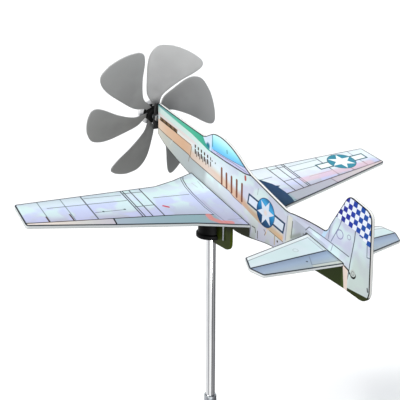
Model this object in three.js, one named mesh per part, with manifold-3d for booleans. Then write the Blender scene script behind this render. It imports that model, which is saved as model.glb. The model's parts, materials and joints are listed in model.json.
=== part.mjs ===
// A garden whirligig: a flat-board fighter aeroplane that turns on a steel pole and drives a six-blade propeller.
// Millimetres, +Z up. The origin is on the pole's axis at ground level; the nose points to -Y and the port wing to +X.
import * as THREE from "three";
import { mergeVertices } from "three/addons/utils/BufferGeometryUtils.js";
import Module from "manifold-3d";

// ---- driving dimensions ----
const NOSE_UP = THREE.MathUtils.degToRad(13); // how far the aeroplane is pitched on its pole
const DIHEDRAL = THREE.MathUtils.degToRad(4.4); // each wing board rises this much towards its tip
const BOARD = 3; // thickness of the fuselage and wing boards
const GAP = 0.3; // clearance between pieces that touch
const HALF_SPAN = 203;
const WING_TOP = -21.6; // top of the wing boards at the fuselage, below the fuselage datum
const TAIL_TOP = 13; // top of the tailplane, above the datum
const TAIL_BOARD = 2.6;
const THRUST_LINE = 5.1; // height of the propeller axis above the datum
const BLADES = 6;
const BLADE_PITCH = THREE.MathUtils.degToRad(24);
const BLADE_THICK = 1.6;
const BLADE_STATION = -18.4; // where the blades' centre lines cross the propeller axis
const FIRST_BLADE = THREE.MathUtils.degToRad(50.7);
const HUB_RADIUS = 9;
const AXLE_RADIUS = 2.5;
const POLE_RADIUS = 5;
const POLE_WALL = 0.8;
const HOUSING_FOOT = 220; // height of the swivel housing's lower face above the ground
const HOUSING_RADIUS = 13.4;
const FLANGE_RADIUS = 15.5;
const PIN_RADIUS = 2.5;
const SPIKE_TIP = -115;
const COUPLER_HEIGHT = 18;

// The aeroplane's datum, seen from the pole: AFT is the pole's distance behind the nose, measured level.
const POLE_AFT = 107.6;
const DATUM_HEIGHT = HOUSING_FOOT + 97.3;

// ---- solids ----
const wasm = await Module();
wasm.setup();

function toSolid(geometry) {
  const bare = geometry.clone();
  bare.deleteAttribute("normal");
  bare.deleteAttribute("uv");
  const merged = mergeVertices(bare, 1e-4);
  const mesh = new wasm.Mesh({
    numProp: 3,
    vertProperties: new Float32Array(merged.attributes.position.array),
    triVerts: new Uint32Array(merged.index.array),
  });
  return new wasm.Manifold(mesh);
}

function toGeometry(solid) {
  const mesh = solid.getMesh();
  const geometry = new THREE.BufferGeometry();
  geometry.setAttribute("position", new THREE.BufferAttribute(mesh.vertProperties.slice(), 3));
  geometry.setIndex(new THREE.BufferAttribute(mesh.triVerts.slice(), 1));
  return geometry;
}

function cut(geometry, ...tools) {
  let solid = toSolid(geometry);
  for (const tool of tools) {
    solid = solid.subtract(toSolid(tool));
  }
  return toGeometry(solid);
}

function join(first, second) {
  return toGeometry(toSolid(first).add(toSolid(second)));
}

// ---- outlines and simple shapes ----

// A closed outline through straight corners [x, y] or rounded ones [x, y, radius].
function outline(corners) {
  const shape = new THREE.Shape();
  corners.forEach((corner, i) => {
    const here = new THREE.Vector2(corner[0], corner[1]);
    const before = corners[(i + corners.length - 1) % corners.length];
    const after = corners[(i + 1) % corners.length];
    const radius = corner[2] ?? 0;
    const toBefore = new THREE.Vector2(before[0], before[1]).sub(here).normalize();
    const toAfter = new THREE.Vector2(after[0], after[1]).sub(here).normalize();
    const halfAngle = Math.acos(THREE.MathUtils.clamp(toBefore.dot(toAfter), -1, 1)) / 2;
    const back = radius / Math.tan(halfAngle);
    const start = here.clone().addScaledVector(toBefore, back);
    const end = here.clone().addScaledVector(toAfter, back);
    if (i === 0) {
      shape.moveTo(start.x, start.y);
    } else {
      shape.lineTo(start.x, start.y);
    }
    if (radius > 0) {
      shape.quadraticCurveTo(here.x, here.y, end.x, end.y);
    }
  });
  shape.closePath();
  return shape;
}

// A flat plate of a shape, from z = low to z = low + thick.
function plate(shape, low, thick, curveSegments = 5) {
  const options = { depth: thick, bevelEnabled: false, curveSegments, steps: 1 };
  return new THREE.ExtrudeGeometry(shape, options).translate(0, 0, low);
}

// The same plate stood up in the aeroplane's side view: shape x runs aft, shape y runs up, thickness across.
function sidePlate(shape, low, thick, curveSegments = 5) {
  return plate(shape, low, thick, curveSegments).rotateX(Math.PI / 2).rotateZ(Math.PI / 2);
}

// A solid of revolution about Z from [radius, z] points, given from the low end of the axis upwards.
function turned(profile, segments = 20) {
  const points = profile.map(([radius, z]) => new THREE.Vector2(radius, z));
  return new THREE.LatheGeometry(points, segments).rotateX(Math.PI / 2);
}

// A rod about Z between two heights.
function rod(radius, low, high, segments = 20) {
  return turned([[0, low], [radius, low], [radius, high], [0, high]], segments);
}

// A sleeve about Z between two heights.
function sleeve(inner, outer, low, high, segments = 20) {
  const ring = [[inner, low], [outer, low], [outer, high], [inner, high], [inner, low]];
  return turned(ring, segments);
}

// A hexagon nut about Z with a round bore.
function hexNut(bore, radius, low, high) {
  return cut(rod(radius, low, high, 6), rod(bore, low - 1, high + 1, 16));
}

// The same solids turned to lie along the propeller axis; heights count forwards from the nose.
function forward(geometry) {
  return geometry.rotateX(Math.PI / 2);
}

// A pan-head screw about Z: the head's underside is at z = 0 and the shank goes up.
function screw(shankRadius, length, headRadius, headHeight) {
  return turned([
    [0, -headHeight],
    [headRadius * 0.7, -headHeight],
    [headRadius, -headHeight * 0.5],
    [headRadius, 0],
    [shankRadius, 0],
    [shankRadius, length - 0.4],
    [shankRadius - 0.4, length],
    [0, length],
  ], 12);
}

// ---- assembly ----
const whirligig = new THREE.Group();

const FINISH = {
  print: { color: 0xd9dde2, roughness: 0.42, metalness: 0.0 },
  wingPrint: { color: 0xdfe6ea, roughness: 0.42, metalness: 0.0 },
  blade: { color: 0x8f8f8f, roughness: 0.55, metalness: 0.1 },
  spinner: { color: 0xf0f0f0, roughness: 0.25, metalness: 0.3 },
  black: { color: 0x0b0b0c, roughness: 0.5, metalness: 0.0 },
  blackSteel: { color: 0x151516, roughness: 0.45, metalness: 0.6 },
  olive: { color: 0x2a3010, roughness: 0.6, metalness: 0.0 },
  chrome: { color: 0xd2d4d8, roughness: 0.12, metalness: 1.0 },
  zinc: { color: 0xb5b9be, roughness: 0.3, metalness: 0.9 },
  steel: { color: 0x8d9196, roughness: 0.35, metalness: 0.9 },
  brass: { color: 0xb08d4c, roughness: 0.3, metalness: 0.9 },
  nylon: { color: 0x26272a, roughness: 0.6, metalness: 0.0 },
};

function add(parent, name, geometry, finish) {
  const mesh = new THREE.Mesh(geometry, new THREE.MeshStandardMaterial(FINISH[finish]));
  mesh.name = name;
  parent.add(mesh);
  return mesh;
}

// ---- the mast: spike, two pole tubes and the pivot ----
const BORE = POLE_RADIUS - POLE_WALL;
const POLE_TOP = HOUSING_FOOT + 8;
const LOWER_TUBE_FOOT = -62;

function buildMast(parent) {
  const spike = turned([
    [0, SPIKE_TIP],
    [POLE_RADIUS, SPIKE_TIP + 26],
    [POLE_RADIUS, LOWER_TUBE_FOOT - GAP],
    [BORE - GAP, LOWER_TUBE_FOOT - GAP],
    [BORE - GAP, LOWER_TUBE_FOOT + 22],
    [0, LOWER_TUBE_FOOT + 22],
  ]);
  add(parent, "ground_spike", spike, "steel");

  const meet = COUPLER_HEIGHT;
  const lower = sleeve(BORE, POLE_RADIUS, LOWER_TUBE_FOOT, meet - GAP);
  add(parent, "pole_lower", lower, "chrome");
  add(parent, "pole_upper", sleeve(BORE, POLE_RADIUS, meet, POLE_TOP), "chrome");

  const half = 15;
  const grip = sleeve(POLE_RADIUS + GAP, POLE_RADIUS + 1.8, meet - half, meet + half);
  const setScrews = [["coupler_screw_lower", meet - 8], ["coupler_screw_upper", meet + 8]];
  const tapped = setScrews.map(([, z]) => rod(1.6, 0, 10, 16).rotateX(Math.PI / 2).translate(0, 0, z));
  add(parent, "pole_coupler", cut(grip, ...tapped), "zinc");
  for (const [name, z] of setScrews) {
    const grub = screw(1.3, 1.6, 2.5, 1.8).rotateX(-Math.PI / 2);
    add(parent, name, grub, "steel").position.set(0, -(POLE_RADIUS + 1.8 + GAP), z);
  }
  buildPivot(parent);
}

// A nylon plug fills the top of the tube, carries the pivot pin and holds the thrust washer up.
function buildPivot(parent) {
  const collar = POLE_TOP + GAP;
  const pinFoot = collar - 12;
  const plug = turned([
    [0, collar - 16],
    [BORE - GAP, collar - 16],
    [BORE - GAP, collar],
    [POLE_RADIUS, collar],
    [POLE_RADIUS, collar + 1.5],
    [PIN_RADIUS + GAP, collar + 1.5],
    [PIN_RADIUS + GAP, pinFoot],
    [0, pinFoot],
  ]);
  add(parent, "pole_plug", plug, "nylon");

  const pinTop = HOUSING_FOOT + 22;
  const pin = turned([
    [0, pinFoot + GAP],
    [PIN_RADIUS, pinFoot + GAP],
    [PIN_RADIUS, pinTop - 1.5],
    [PIN_RADIUS * 0.6, pinTop - 0.4],
    [0, pinTop],
  ]);
  add(parent, "pivot_pin", pin, "steel");
  const washer = sleeve(PIN_RADIUS + GAP, POLE_RADIUS - 0.2, collar + 1.8, collar + 2.8);
  add(parent, "thrust_washer", washer, "zinc");
}

// ---- the swivel: a moulded housing that clamps the fuselage tab and turns on the pivot pin ----
const TAB_SLOT = BOARD + 0.7;
const SLOT_FLOOR = HOUSING_FOOT + 25.5; // the slot passes over the bearing here
const TAB_FRONT = 6.5; // the tab's upright front edge, behind the pole's axis
const HOUSING_TOP = HOUSING_FOOT + 40;
const CLAMP_HEIGHT = HOUSING_FOOT + 33;
const CLAMP_SPREAD = 7.5;
const SPOT_FACE = 9.6;

function buildSwivel(parent) {
  const body = turned([
    [0, HOUSING_FOOT],
    [FLANGE_RADIUS - 1, HOUSING_FOOT],
    [FLANGE_RADIUS, HOUSING_FOOT + 1],
    [FLANGE_RADIUS, HOUSING_FOOT + 4.2],
    [HOUSING_RADIUS, HOUSING_FOOT + 4.8],
    [HOUSING_RADIUS, HOUSING_TOP - 1.2],
    [HOUSING_RADIUS - 1.2, HOUSING_TOP],
    [0, HOUSING_TOP],
  ], 32);
  const bearingSeat = HOUSING_FOOT + 11.6;
  const bore = turned([
    [0, HOUSING_FOOT - 1],
    [POLE_RADIUS + 0.7, HOUSING_FOOT - 1],
    [POLE_RADIUS + 0.7, bearingSeat],
    [POLE_RADIUS + 0.1, bearingSeat],
    [POLE_RADIUS + 0.1, HOUSING_FOOT + 24],
    [0, HOUSING_FOOT + 24],
  ]);
  const slotHeight = HOUSING_TOP - SLOT_FLOOR + 1;
  const topSlot = new THREE.BoxGeometry(TAB_SLOT, 4 * HOUSING_RADIUS, slotHeight)
    .translate(0, 0, SLOT_FLOOR + slotHeight / 2);
  const rearLength = 12;
  const rearSlot = new THREE.BoxGeometry(TAB_SLOT, rearLength, HOUSING_TOP - HOUSING_FOOT + 2)
    .translate(0, TAB_FRONT - GAP + rearLength / 2, (HOUSING_TOP + HOUSING_FOOT) / 2);
  const tools = [bore, topSlot, rearSlot];
  for (const side of [-1, 1]) {
    tools.push(clampHole(side * CLAMP_SPREAD));
    for (const face of [-1, 1]) {
      const recess = rod(4.2, 0, 8, 16).rotateY(face * Math.PI / 2);
      tools.push(recess.translate(face * SPOT_FACE, side * CLAMP_SPREAD, CLAMP_HEIGHT));
    }
  }
  add(parent, "swivel_housing", cut(body, ...tools), "black");
  const bush = sleeve(PIN_RADIUS + 0.35, POLE_RADIUS - GAP + 0.1, bearingSeat + 0.6, HOUSING_FOOT + 23.5);
  add(parent, "swivel_bush", bush, "brass");
  buildClampBolts(parent);
  const strip = new THREE.BoxGeometry(1.2, 1.8, 34);
  add(parent, "lock_strip", strip, "zinc").position.set(BOARD / 2 + 0.95, 27, HOUSING_FOOT + 20.5);
}

function clampHole(y) {
  return rod(1.8, -20, 20, 16).rotateY(Math.PI / 2).translate(0, y, CLAMP_HEIGHT);
}

function buildClampBolts(parent) {
  for (const [place, side] of [["front", -1], ["rear", 1]]) {
    const y = side * CLAMP_SPREAD;
    const bolt = screw(1.5, 2 * SPOT_FACE + 3.4, 3, 2).rotateY(-Math.PI / 2);
    add(parent, `clamp_bolt_${place}`, bolt, "blackSteel").position.set(SPOT_FACE + GAP, y, CLAMP_HEIGHT);
    const nut = hexNut(1.5 + GAP, 3.2, 0, 2.4).rotateY(-Math.PI / 2);
    add(parent, `clamp_nut_${place}`, nut, "blackSteel").position.set(-SPOT_FACE - GAP, y, CLAMP_HEIGHT);
  }
}

// ---- the fuselage board: profile of a low-wing fighter, fin and rudder included ----
function fuselageShape() {
  const shape = new THREE.Shape();
  shape.moveTo(0, -10.8);
  shape.lineTo(-6.3, 21.8);
  shape.quadraticCurveTo(-6.2, 22.4, -5.4, 22.4);
  shape.quadraticCurveTo(45, 23.4, 90, 25.9); // nose top
  shape.bezierCurveTo(97, 27.2, 102, 33.2, 108.3, 35.8); // windscreen
  shape.bezierCurveTo(122, 40.6, 142, 37.6, 158, 31.2); // canopy
  shape.quadraticCurveTo(168, 27.2, 177, 24.8);
  shape.lineTo(232, 18.9); // rear deck
  shape.quadraticCurveTo(237, 18.6, 243, 20.6); // dorsal fillet
  shape.quadraticCurveTo(262, 25.6, 284, 28);
  shape.quadraticCurveTo(287.6, 28.8, 288.6, 35);
  shape.lineTo(299.3, 64.3); // fin
  shape.quadraticCurveTo(301.4, 69.2, 306, 69.3);
  shape.lineTo(321.5, 68.2);
  shape.quadraticCurveTo(328.4, 67.4, 330.2, 61.2);
  shape.lineTo(345.7, 6.4); // rudder
  shape.quadraticCurveTo(346.6, -3.6, 336.9, -4.9);
  shape.lineTo(319.5, -6.4);
  shape.quadraticCurveTo(268, -13.4, 222.8, -24.8); // rear belly
  shape.bezierCurveTo(200, -30.4, 186, -39.8, 160, -42.2); // radiator fairing
  shape.lineTo(112, -42.2);
  shape.quadraticCurveTo(104, -28.6, 92, -27);
  shape.quadraticCurveTo(50, -22.8, 24.6, -18.7);
  shape.quadraticCurveTo(9, -15.6, 0, -10.8);
  return shape;
}

// The tab stands upright on the pole: y counts from the pole's axis and z from the ground.
function tabShape() {
  const foot = HOUSING_FOOT - 5.2;
  const top = HOUSING_TOP + 8;
  return outline([
    [-17, SLOT_FLOOR + GAP, 2],
    [TAB_FRONT, SLOT_FLOOR + GAP],
    [TAB_FRONT, foot, 0.8],
    [38.4, foot, 10],
    [38.4, HOUSING_FOOT + 20],
    [30, top],
    [-17, top],
  ]);
}

// Takes a geometry from the upright frame of the pole into the pitched frame of the aeroplane.
function intoAeroplane(geometry) {
  return geometry.translate(0, POLE_AFT, -DATUM_HEIGHT).rotateX(NOSE_UP);
}

const SADDLE = { front: 120, length: 25, halfWidth: 46, thick: 2 };
const NOSE_SCREWS = [["upper", 14], ["lower", 0]];
const NOSE_SCREW_AFT = 13;

function buildFuselage(parent) {
  const profile = sidePlate(fuselageShape(), -BOARD / 2, BOARD, 7);
  const tab = intoAeroplane(sidePlate(tabShape(), -BOARD / 2, BOARD));
  const wingBottom = WING_TOP - BOARD / Math.cos(DIHEDRAL);
  const saddleSlot = new THREE.BoxGeometry(2 * BOARD, SADDLE.length + 0.8, SADDLE.thick + 0.8)
    .translate(0, SADDLE.front + SADDLE.length / 2, wingBottom - GAP - SADDLE.thick / 2);
  const tailSlot = new THREE.BoxGeometry(2 * BOARD, 48.8, TAIL_BOARD + 0.7)
    .translate(0, 288.5, TAIL_TOP - TAIL_BOARD / 2);
  const clampHoles = [-1, 1].map((side) => intoAeroplane(clampHole(side * CLAMP_SPREAD)));
  const screwHoles = NOSE_SCREWS.map(([, z]) => {
    return rod(1.5, -BOARD, 0.9, 16).rotateY(Math.PI / 2).translate(0, NOSE_SCREW_AFT, z);
  });
  const board = cut(join(profile, tab), saddleSlot, tailSlot, ...clampHoles, ...screwHoles);
  add(parent, "fuselage_board", board, "print");
}

// ---- wings: two flat boards butted to the fuselage and carried by a bent steel saddle ----
function wingShape(side) {
  const corners = [
    [BOARD / 2 + 0.4, 78],
    [32.5, 91.9, 20],
    [57.4, 100.3, 20],
    [HALF_SPAN - 1, 110.4, 3],
    [HALF_SPAN + 0.6, 147, 3],
    [126, 162.2],
    [52, 175.6, 30],
    [BOARD / 2 + 0.4, 190],
  ];
  return outline(corners.map(([x, y, radius]) => [side * x, y, radius]));
}

const SADDLE_SCREWS = [["inner", 16], ["outer", 36]];
const SADDLE_MIDDLE = SADDLE.front + SADDLE.length / 2;

function wingFrame(side) {
  const frame = new THREE.Group();
  frame.position.z = WING_TOP;
  frame.rotation.y = -side * DIHEDRAL;
  frame.updateMatrix();
  return frame;
}

function saddleHole(side, x) {
  return rod(1.8, -8, -0.7, 16).translate(side * x, SADDLE_MIDDLE, 0);
}

function buildWings(parent) {
  const saddleTop = WING_TOP - (BOARD + GAP) / Math.cos(DIHEDRAL);
  const rise = SADDLE.halfWidth * Math.tan(DIHEDRAL);
  const strip = outline([
    [0, saddleTop],
    [SADDLE.halfWidth, saddleTop + rise],
    [SADDLE.halfWidth, saddleTop + rise - SADDLE.thick],
    [0, saddleTop - SADDLE.thick],
    [-SADDLE.halfWidth, saddleTop + rise - SADDLE.thick],
    [-SADDLE.halfWidth, saddleTop + rise],
  ]);
  const saddle = plate(strip, 0, SADDLE.length).rotateX(Math.PI / 2)
    .translate(0, SADDLE.front + SADDLE.length, 0);
  const saddleHoles = [];
  for (const [name, side] of [["port", 1], ["starboard", -1]]) {
    const frame = wingFrame(side);
    parent.add(frame);
    const holes = SADDLE_SCREWS.map(([, x]) => saddleHole(side, x));
    saddleHoles.push(...holes.map((hole) => hole.clone().applyMatrix4(frame.matrix)));
    add(frame, `wing_${name}`, cut(plate(wingShape(side), -BOARD, BOARD), ...holes), "wingPrint");
    for (const [place, x] of SADDLE_SCREWS) {
      const fastener = add(frame, `wing_screw_${name}_${place}`, screw(1.4, 4.4, 3, 1.6), "blackSteel");
      fastener.position.set(side * x, SADDLE_MIDDLE, -BOARD - SADDLE.thick - 2 * GAP);
    }
  }
  add(parent, "wing_saddle", cut(saddle, ...saddleHoles), "blackSteel");
}

// ---- tailplane: one board through a slot in the fuselage, stiffened by two small angles ----
function buildTail(parent) {
  const halfOutline = [
    [0, 264.6],
    [71.6, 276.7, 2],
    [76.9, 290.6, 4],
    [71.4, 302.3, 3],
    [46, 306],
    [0, 312.4],
  ];
  const mirrored = halfOutline.slice(1, -1).reverse().map(([x, y, radius]) => [-x, y, radius]);
  const board = plate(outline([...halfOutline, ...mirrored]), TAIL_TOP - TAIL_BOARD, TAIL_BOARD);
  add(parent, "tailplane_board", board, "wingPrint");
  const under = TAIL_TOP - TAIL_BOARD - GAP;
  for (const [name, side] of [["port", 1], ["starboard", -1]]) {
    const near = BOARD / 2 + GAP;
    const angle = outline([
      [side * near, under],
      [side * (near + 8), under],
      [side * (near + 8), under - 1],
      [side * (near + 1), under - 1],
      [side * (near + 1), under - 7],
      [side * near, under - 7],
    ]);
    add(parent, `tail_angle_${name}`, plate(angle, 0, 20).rotateX(Math.PI / 2), "olive")
      .position.y = 302;
  }
}

// ---- nose bracket and propeller axle ----
const BRACKET_FACE = 9.3; // front of the bracket plate, forward of the nose datum

function buildNose(parent) {
  const front = new THREE.BoxGeometry(8.6, 2.5, 30).translate(0, -BRACKET_FACE + 1.25, 6);
  const armLength = 29;
  const arm = new THREE.BoxGeometry(2, armLength, 22)
    .translate(-BOARD / 2 - GAP - 1, -BRACKET_FACE + armLength / 2, 7);
  const holes = NOSE_SCREWS.map(([, z]) => {
    return rod(1.5, -10, 0, 16).rotateY(Math.PI / 2).translate(0, NOSE_SCREW_AFT, z);
  });
  const axleHole = forward(rod(AXLE_RADIUS + 0.3, 5, 12)).translate(0, 0, THRUST_LINE);
  const headRoom = new THREE.BoxGeometry(10.6, 3.6, 10.6)
    .translate(0, -BRACKET_FACE + 2.5 + 1.8, THRUST_LINE);
  add(parent, "nose_bracket", cut(join(front, arm), axleHole, headRoom, ...holes), "blackSteel");
  for (const [name, z] of NOSE_SCREWS) {
    const fastener = screw(1.2, 4.2, 2.6, 1.5).rotateY(Math.PI / 2);
    add(parent, `nose_screw_${name}`, fastener, "blackSteel")
      .position.set(-BOARD / 2 - 2 - 2 * GAP, NOSE_SCREW_AFT, z);
  }

  const axis = new THREE.Group();
  axis.position.z = THRUST_LINE;
  parent.add(axis);
  const head = BRACKET_FACE - 2.5 - GAP;
  const headRadius = 4.4;
  const axle = join(
    rod(headRadius, head - 2.2, head, 6),
    rod(AXLE_RADIUS, head - 1, 34),
  );
  add(axis, "prop_axle", forward(axle), "zinc");
  const rear = sleeve(AXLE_RADIUS + GAP, 4.6, BRACKET_FACE + GAP, BRACKET_FACE + 1.5);
  add(axis, "axle_washer_rear", forward(rear), "zinc");
  const frontWasher = sleeve(AXLE_RADIUS + GAP, 4.6, HUB_FRONT + GAP, HUB_FRONT + 1.3);
  add(axis, "axle_washer_front", forward(frontWasher), "zinc");
  const nut = hexNut(AXLE_RADIUS + GAP, 4.6, HUB_FRONT + 1.6, HUB_FRONT + 5);
  add(axis, "axle_lock_nut", forward(nut), "zinc");
  return axis;
}

// ---- propeller: ribbed hub, domed spinner, two bushes and six blades ----
const HUB_REAR = 11.2; // distances forward of the nose datum
const HUB_FRONT = 27.6;
const SPINNER_REAR = 23.2;
const SPINNER_TIP = 38;
const SPINNER_RADIUS = 14.5;
const ROOT = 7; // radius at which each blade's root ends inside the hub

// Each blade is a flat board pitched about its own radius. Along it, s runs from 0 at the root to 1 at the tip,
// and the two edges are smooth curves [distance from the axis, offset across the blade].
const UPPER_EDGE = new THREE.SplineCurve([
  new THREE.Vector2(ROOT, 2.6),
  new THREE.Vector2(12, 2.4),
  new THREE.Vector2(24, 1.6),
  new THREE.Vector2(43.7, 11.6),
  new THREE.Vector2(60.6, 23.8),
  new THREE.Vector2(70, 28.4),
  new THREE.Vector2(75.6, 26),
  new THREE.Vector2(78.4, 17.2),
]);
const LOWER_EDGE = new THREE.SplineCurve([
  new THREE.Vector2(ROOT, -3.4),
  new THREE.Vector2(10.5, -4.6),
  new THREE.Vector2(17.4, -13.2),
  new THREE.Vector2(32.6, -19.3),
  new THREE.Vector2(50.4, -24.6),
  new THREE.Vector2(63, -24.6),
  new THREE.Vector2(72.6, -19),
  new THREE.Vector2(78, -6),
]);
const TIP_BULGE = 1.2;
const BLADE_SWEEP = 0.88 / 1000; // how fast the blade curls forward away from its root

// Maps a unit box, x along the blade, y across it and z through it, on to the blade.
function bladeGeometry() {
  const along = 11;
  const across = 4;
  const box = new THREE.BoxGeometry(1, 1, 1, along, across, 1);
  const place = box.attributes.position;
  for (let i = 0; i < place.count; i += 1) {
    const s = place.getX(i) + 0.5;
    const t = place.getY(i) + 0.5;
    const upper = UPPER_EDGE.getPoint(s);
    const lower = LOWER_EDGE.getPoint(s);
    const u = THREE.MathUtils.lerp(lower.x, upper.x, t) + TIP_BULGE * s * s * 4 * t * (1 - t);
    const v = THREE.MathUtils.lerp(lower.y, upper.y, t);
    const forwardCurl = BLADE_SWEEP * (u - 15) ** 2;
    const depth = v * Math.tan(BLADE_PITCH) - forwardCurl - place.getZ(i) * BLADE_THICK;
    place.setXYZ(i, u, depth, v);
  }
  return box;
}

function bladeAngle(i) {
  return FIRST_BLADE + (i * 2 * Math.PI) / BLADES;
}

// Turns a geometry drawn along +X, with +Z across and +Y aft, round to a blade's own direction.
function toBlade(geometry, i) {
  return geometry.rotateY(-bladeAngle(i)).translate(0, BLADE_STATION, 0);
}

function buildPropeller(axis) {
  const ribs = [];
  const ribPitch = 2.6;
  for (let i = 0; i < 3; i += 1) {
    const start = HUB_REAR + i * ribPitch;
    ribs.push([HUB_RADIUS - 1, start], [HUB_RADIUS, start + 0.4]);
    ribs.push([HUB_RADIUS, start + 1.5], [HUB_RADIUS - 1, start + 1.9]);
  }
  const seat = AXLE_RADIUS + 1.9;
  const hub = turned([
    [seat, HUB_REAR],
    ...ribs,
    [HUB_RADIUS, HUB_REAR + 3.2 * ribPitch],
    [HUB_RADIUS, HUB_FRONT],
    [seat, HUB_FRONT],
    [seat, HUB_REAR],
  ], 24);
  const slots = [];
  for (let i = 0; i < BLADES; i += 1) {
    const slot = new THREE.BoxGeometry(12, BLADE_THICK + 0.8, 8.2)
      .rotateX(-BLADE_PITCH)
      .translate(ROOT - 0.4 + 6, 0, -0.4);
    slots.push(toBlade(slot, i));
  }
  add(axis, "prop_hub", cut(forward(hub), ...slots), "black");

  const bushLength = 7;
  for (const [name, start] of [["rear", HUB_REAR + GAP], ["front", HUB_FRONT - GAP - bushLength]]) {
    const bush = sleeve(AXLE_RADIUS + 0.35, seat - GAP, start, start + bushLength);
    add(axis, `hub_bush_${name}`, forward(bush), "brass");
  }
  add(axis, "spinner_cap", forward(spinnerGeometry()), "spinner");
  for (let i = 0; i < BLADES; i += 1) {
    add(axis, `blade_${i + 1}`, toBlade(bladeGeometry(), i), "blade");
  }
}

// An elliptical dome with a flat rear flange that fits round the hub's front end.
function spinnerGeometry() {
  const wall = 1.5;
  const dome = (radius, length, steps) => {
    const points = [];
    for (let i = 0; i <= steps; i += 1) {
      const angle = (i / steps) * (Math.PI / 2);
      points.push([radius * Math.cos(angle), SPINNER_REAR + wall + length * Math.sin(angle)]);
    }
    return points;
  };
  const length = SPINNER_TIP - SPINNER_REAR - wall;
  const outer = dome(SPINNER_RADIUS, length, 7);
  const inner = dome(SPINNER_RADIUS - wall, length - wall, 5).reverse();
  const hole = HUB_RADIUS + GAP;
  outer[outer.length - 1][0] = 0;
  inner[0][0] = 0;
  return turned([
    ...inner,
    [hole, SPINNER_REAR + wall],
    [hole, SPINNER_REAR],
    [SPINNER_RADIUS, SPINNER_REAR],
    ...outer,
  ], 24);
}

buildMast(whirligig);
buildSwivel(whirligig);

const aeroplane = new THREE.Group();
aeroplane.position.set(0, -POLE_AFT, DATUM_HEIGHT);
aeroplane.rotation.x = -NOSE_UP;
whirligig.add(aeroplane);
buildFuselage(aeroplane);
buildWings(aeroplane);
buildTail(aeroplane);
buildPropeller(buildNose(aeroplane));

export default whirligig;
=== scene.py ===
import json
import math

import bmesh
import bpy
import numpy as np
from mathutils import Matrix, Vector
from mathutils.geometry import tessellate_polygon


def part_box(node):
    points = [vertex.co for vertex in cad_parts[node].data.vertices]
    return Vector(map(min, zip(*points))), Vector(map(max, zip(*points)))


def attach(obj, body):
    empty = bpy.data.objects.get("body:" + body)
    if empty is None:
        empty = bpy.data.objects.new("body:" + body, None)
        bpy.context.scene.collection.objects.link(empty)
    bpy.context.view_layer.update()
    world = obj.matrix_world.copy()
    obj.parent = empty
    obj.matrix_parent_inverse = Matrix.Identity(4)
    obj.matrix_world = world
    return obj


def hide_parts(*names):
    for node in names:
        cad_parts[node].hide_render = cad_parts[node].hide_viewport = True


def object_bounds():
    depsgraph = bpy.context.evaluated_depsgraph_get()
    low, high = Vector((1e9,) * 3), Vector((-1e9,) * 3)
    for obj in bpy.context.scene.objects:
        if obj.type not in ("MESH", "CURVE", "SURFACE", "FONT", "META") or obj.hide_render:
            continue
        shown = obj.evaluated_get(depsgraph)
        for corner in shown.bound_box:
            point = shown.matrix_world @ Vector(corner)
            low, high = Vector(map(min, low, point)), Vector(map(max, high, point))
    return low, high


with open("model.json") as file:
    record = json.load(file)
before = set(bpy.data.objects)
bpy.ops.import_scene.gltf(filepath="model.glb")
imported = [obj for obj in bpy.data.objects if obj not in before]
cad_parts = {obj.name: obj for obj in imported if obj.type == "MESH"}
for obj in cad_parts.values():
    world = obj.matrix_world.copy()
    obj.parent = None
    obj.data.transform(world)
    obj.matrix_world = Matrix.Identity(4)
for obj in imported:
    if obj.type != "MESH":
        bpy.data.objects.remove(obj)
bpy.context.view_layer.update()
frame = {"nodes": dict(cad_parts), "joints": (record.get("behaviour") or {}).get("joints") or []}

MM = 0.001


# ---- the two frames that shapes are drawn in ----
HINGE = {joint["name"]: joint for joint in frame["joints"]}
SPIN = HINGE["prop_spin"]
NOSE_UP = math.atan2(SPIN["axis"][2], -SPIN["axis"][1])
THRUST_LINE = 5.1  # height of the propeller's axis above the aeroplane's datum
BLADE_STATION = -18.4  # where the blades cross that axis: less than 0 is ahead of the datum
TILT = np.array([
    [1, 0, 0],
    [0, math.cos(NOSE_UP), math.sin(NOSE_UP)],
    [0, -math.sin(NOSE_UP), math.cos(NOSE_UP)],
])
DATUM = np.array(SPIN["pos_m"]) / MM - TILT @ np.array([0, BLADE_STATION, THRUST_LINE])


def aeroplane(points):
    """From the aeroplane's frame: turned nose-up by TILT, then moved to DATUM."""
    return (np.asarray(points, float) @ TILT.T + DATUM) * MM


def upright(points):
    """From the pole's frame, which is the shared frame in millimetres."""
    return np.asarray(points, float) * MM


def into_aeroplane(points):
    """From the pole's frame into the aeroplane's: the reverse of DATUM and TILT."""
    return (np.asarray(points, float) - DATUM) @ TILT


def beside(points):
    """A plate drawn flat, x aft and y up, stood on edge: (x, y, z) goes to (z, x, y)."""
    return points[..., [2, 0, 1]]


def forward(points):
    """A shape turned about Z, laid along the propeller's axis:
    (x, y, z) goes to (x, -z, y + THRUST_LINE)."""
    return np.stack([points[..., 0], -points[..., 2], points[..., 1] + THRUST_LINE], -1)


def pointing(direction, place):
    """A function that turns +Z to a direction and moves the origin to a place."""
    turn = np.array(Vector((0, 0, 1)).rotation_difference(Vector(direction)).to_matrix())
    return lambda points: points @ turn.T + np.array(place, float)


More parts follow.
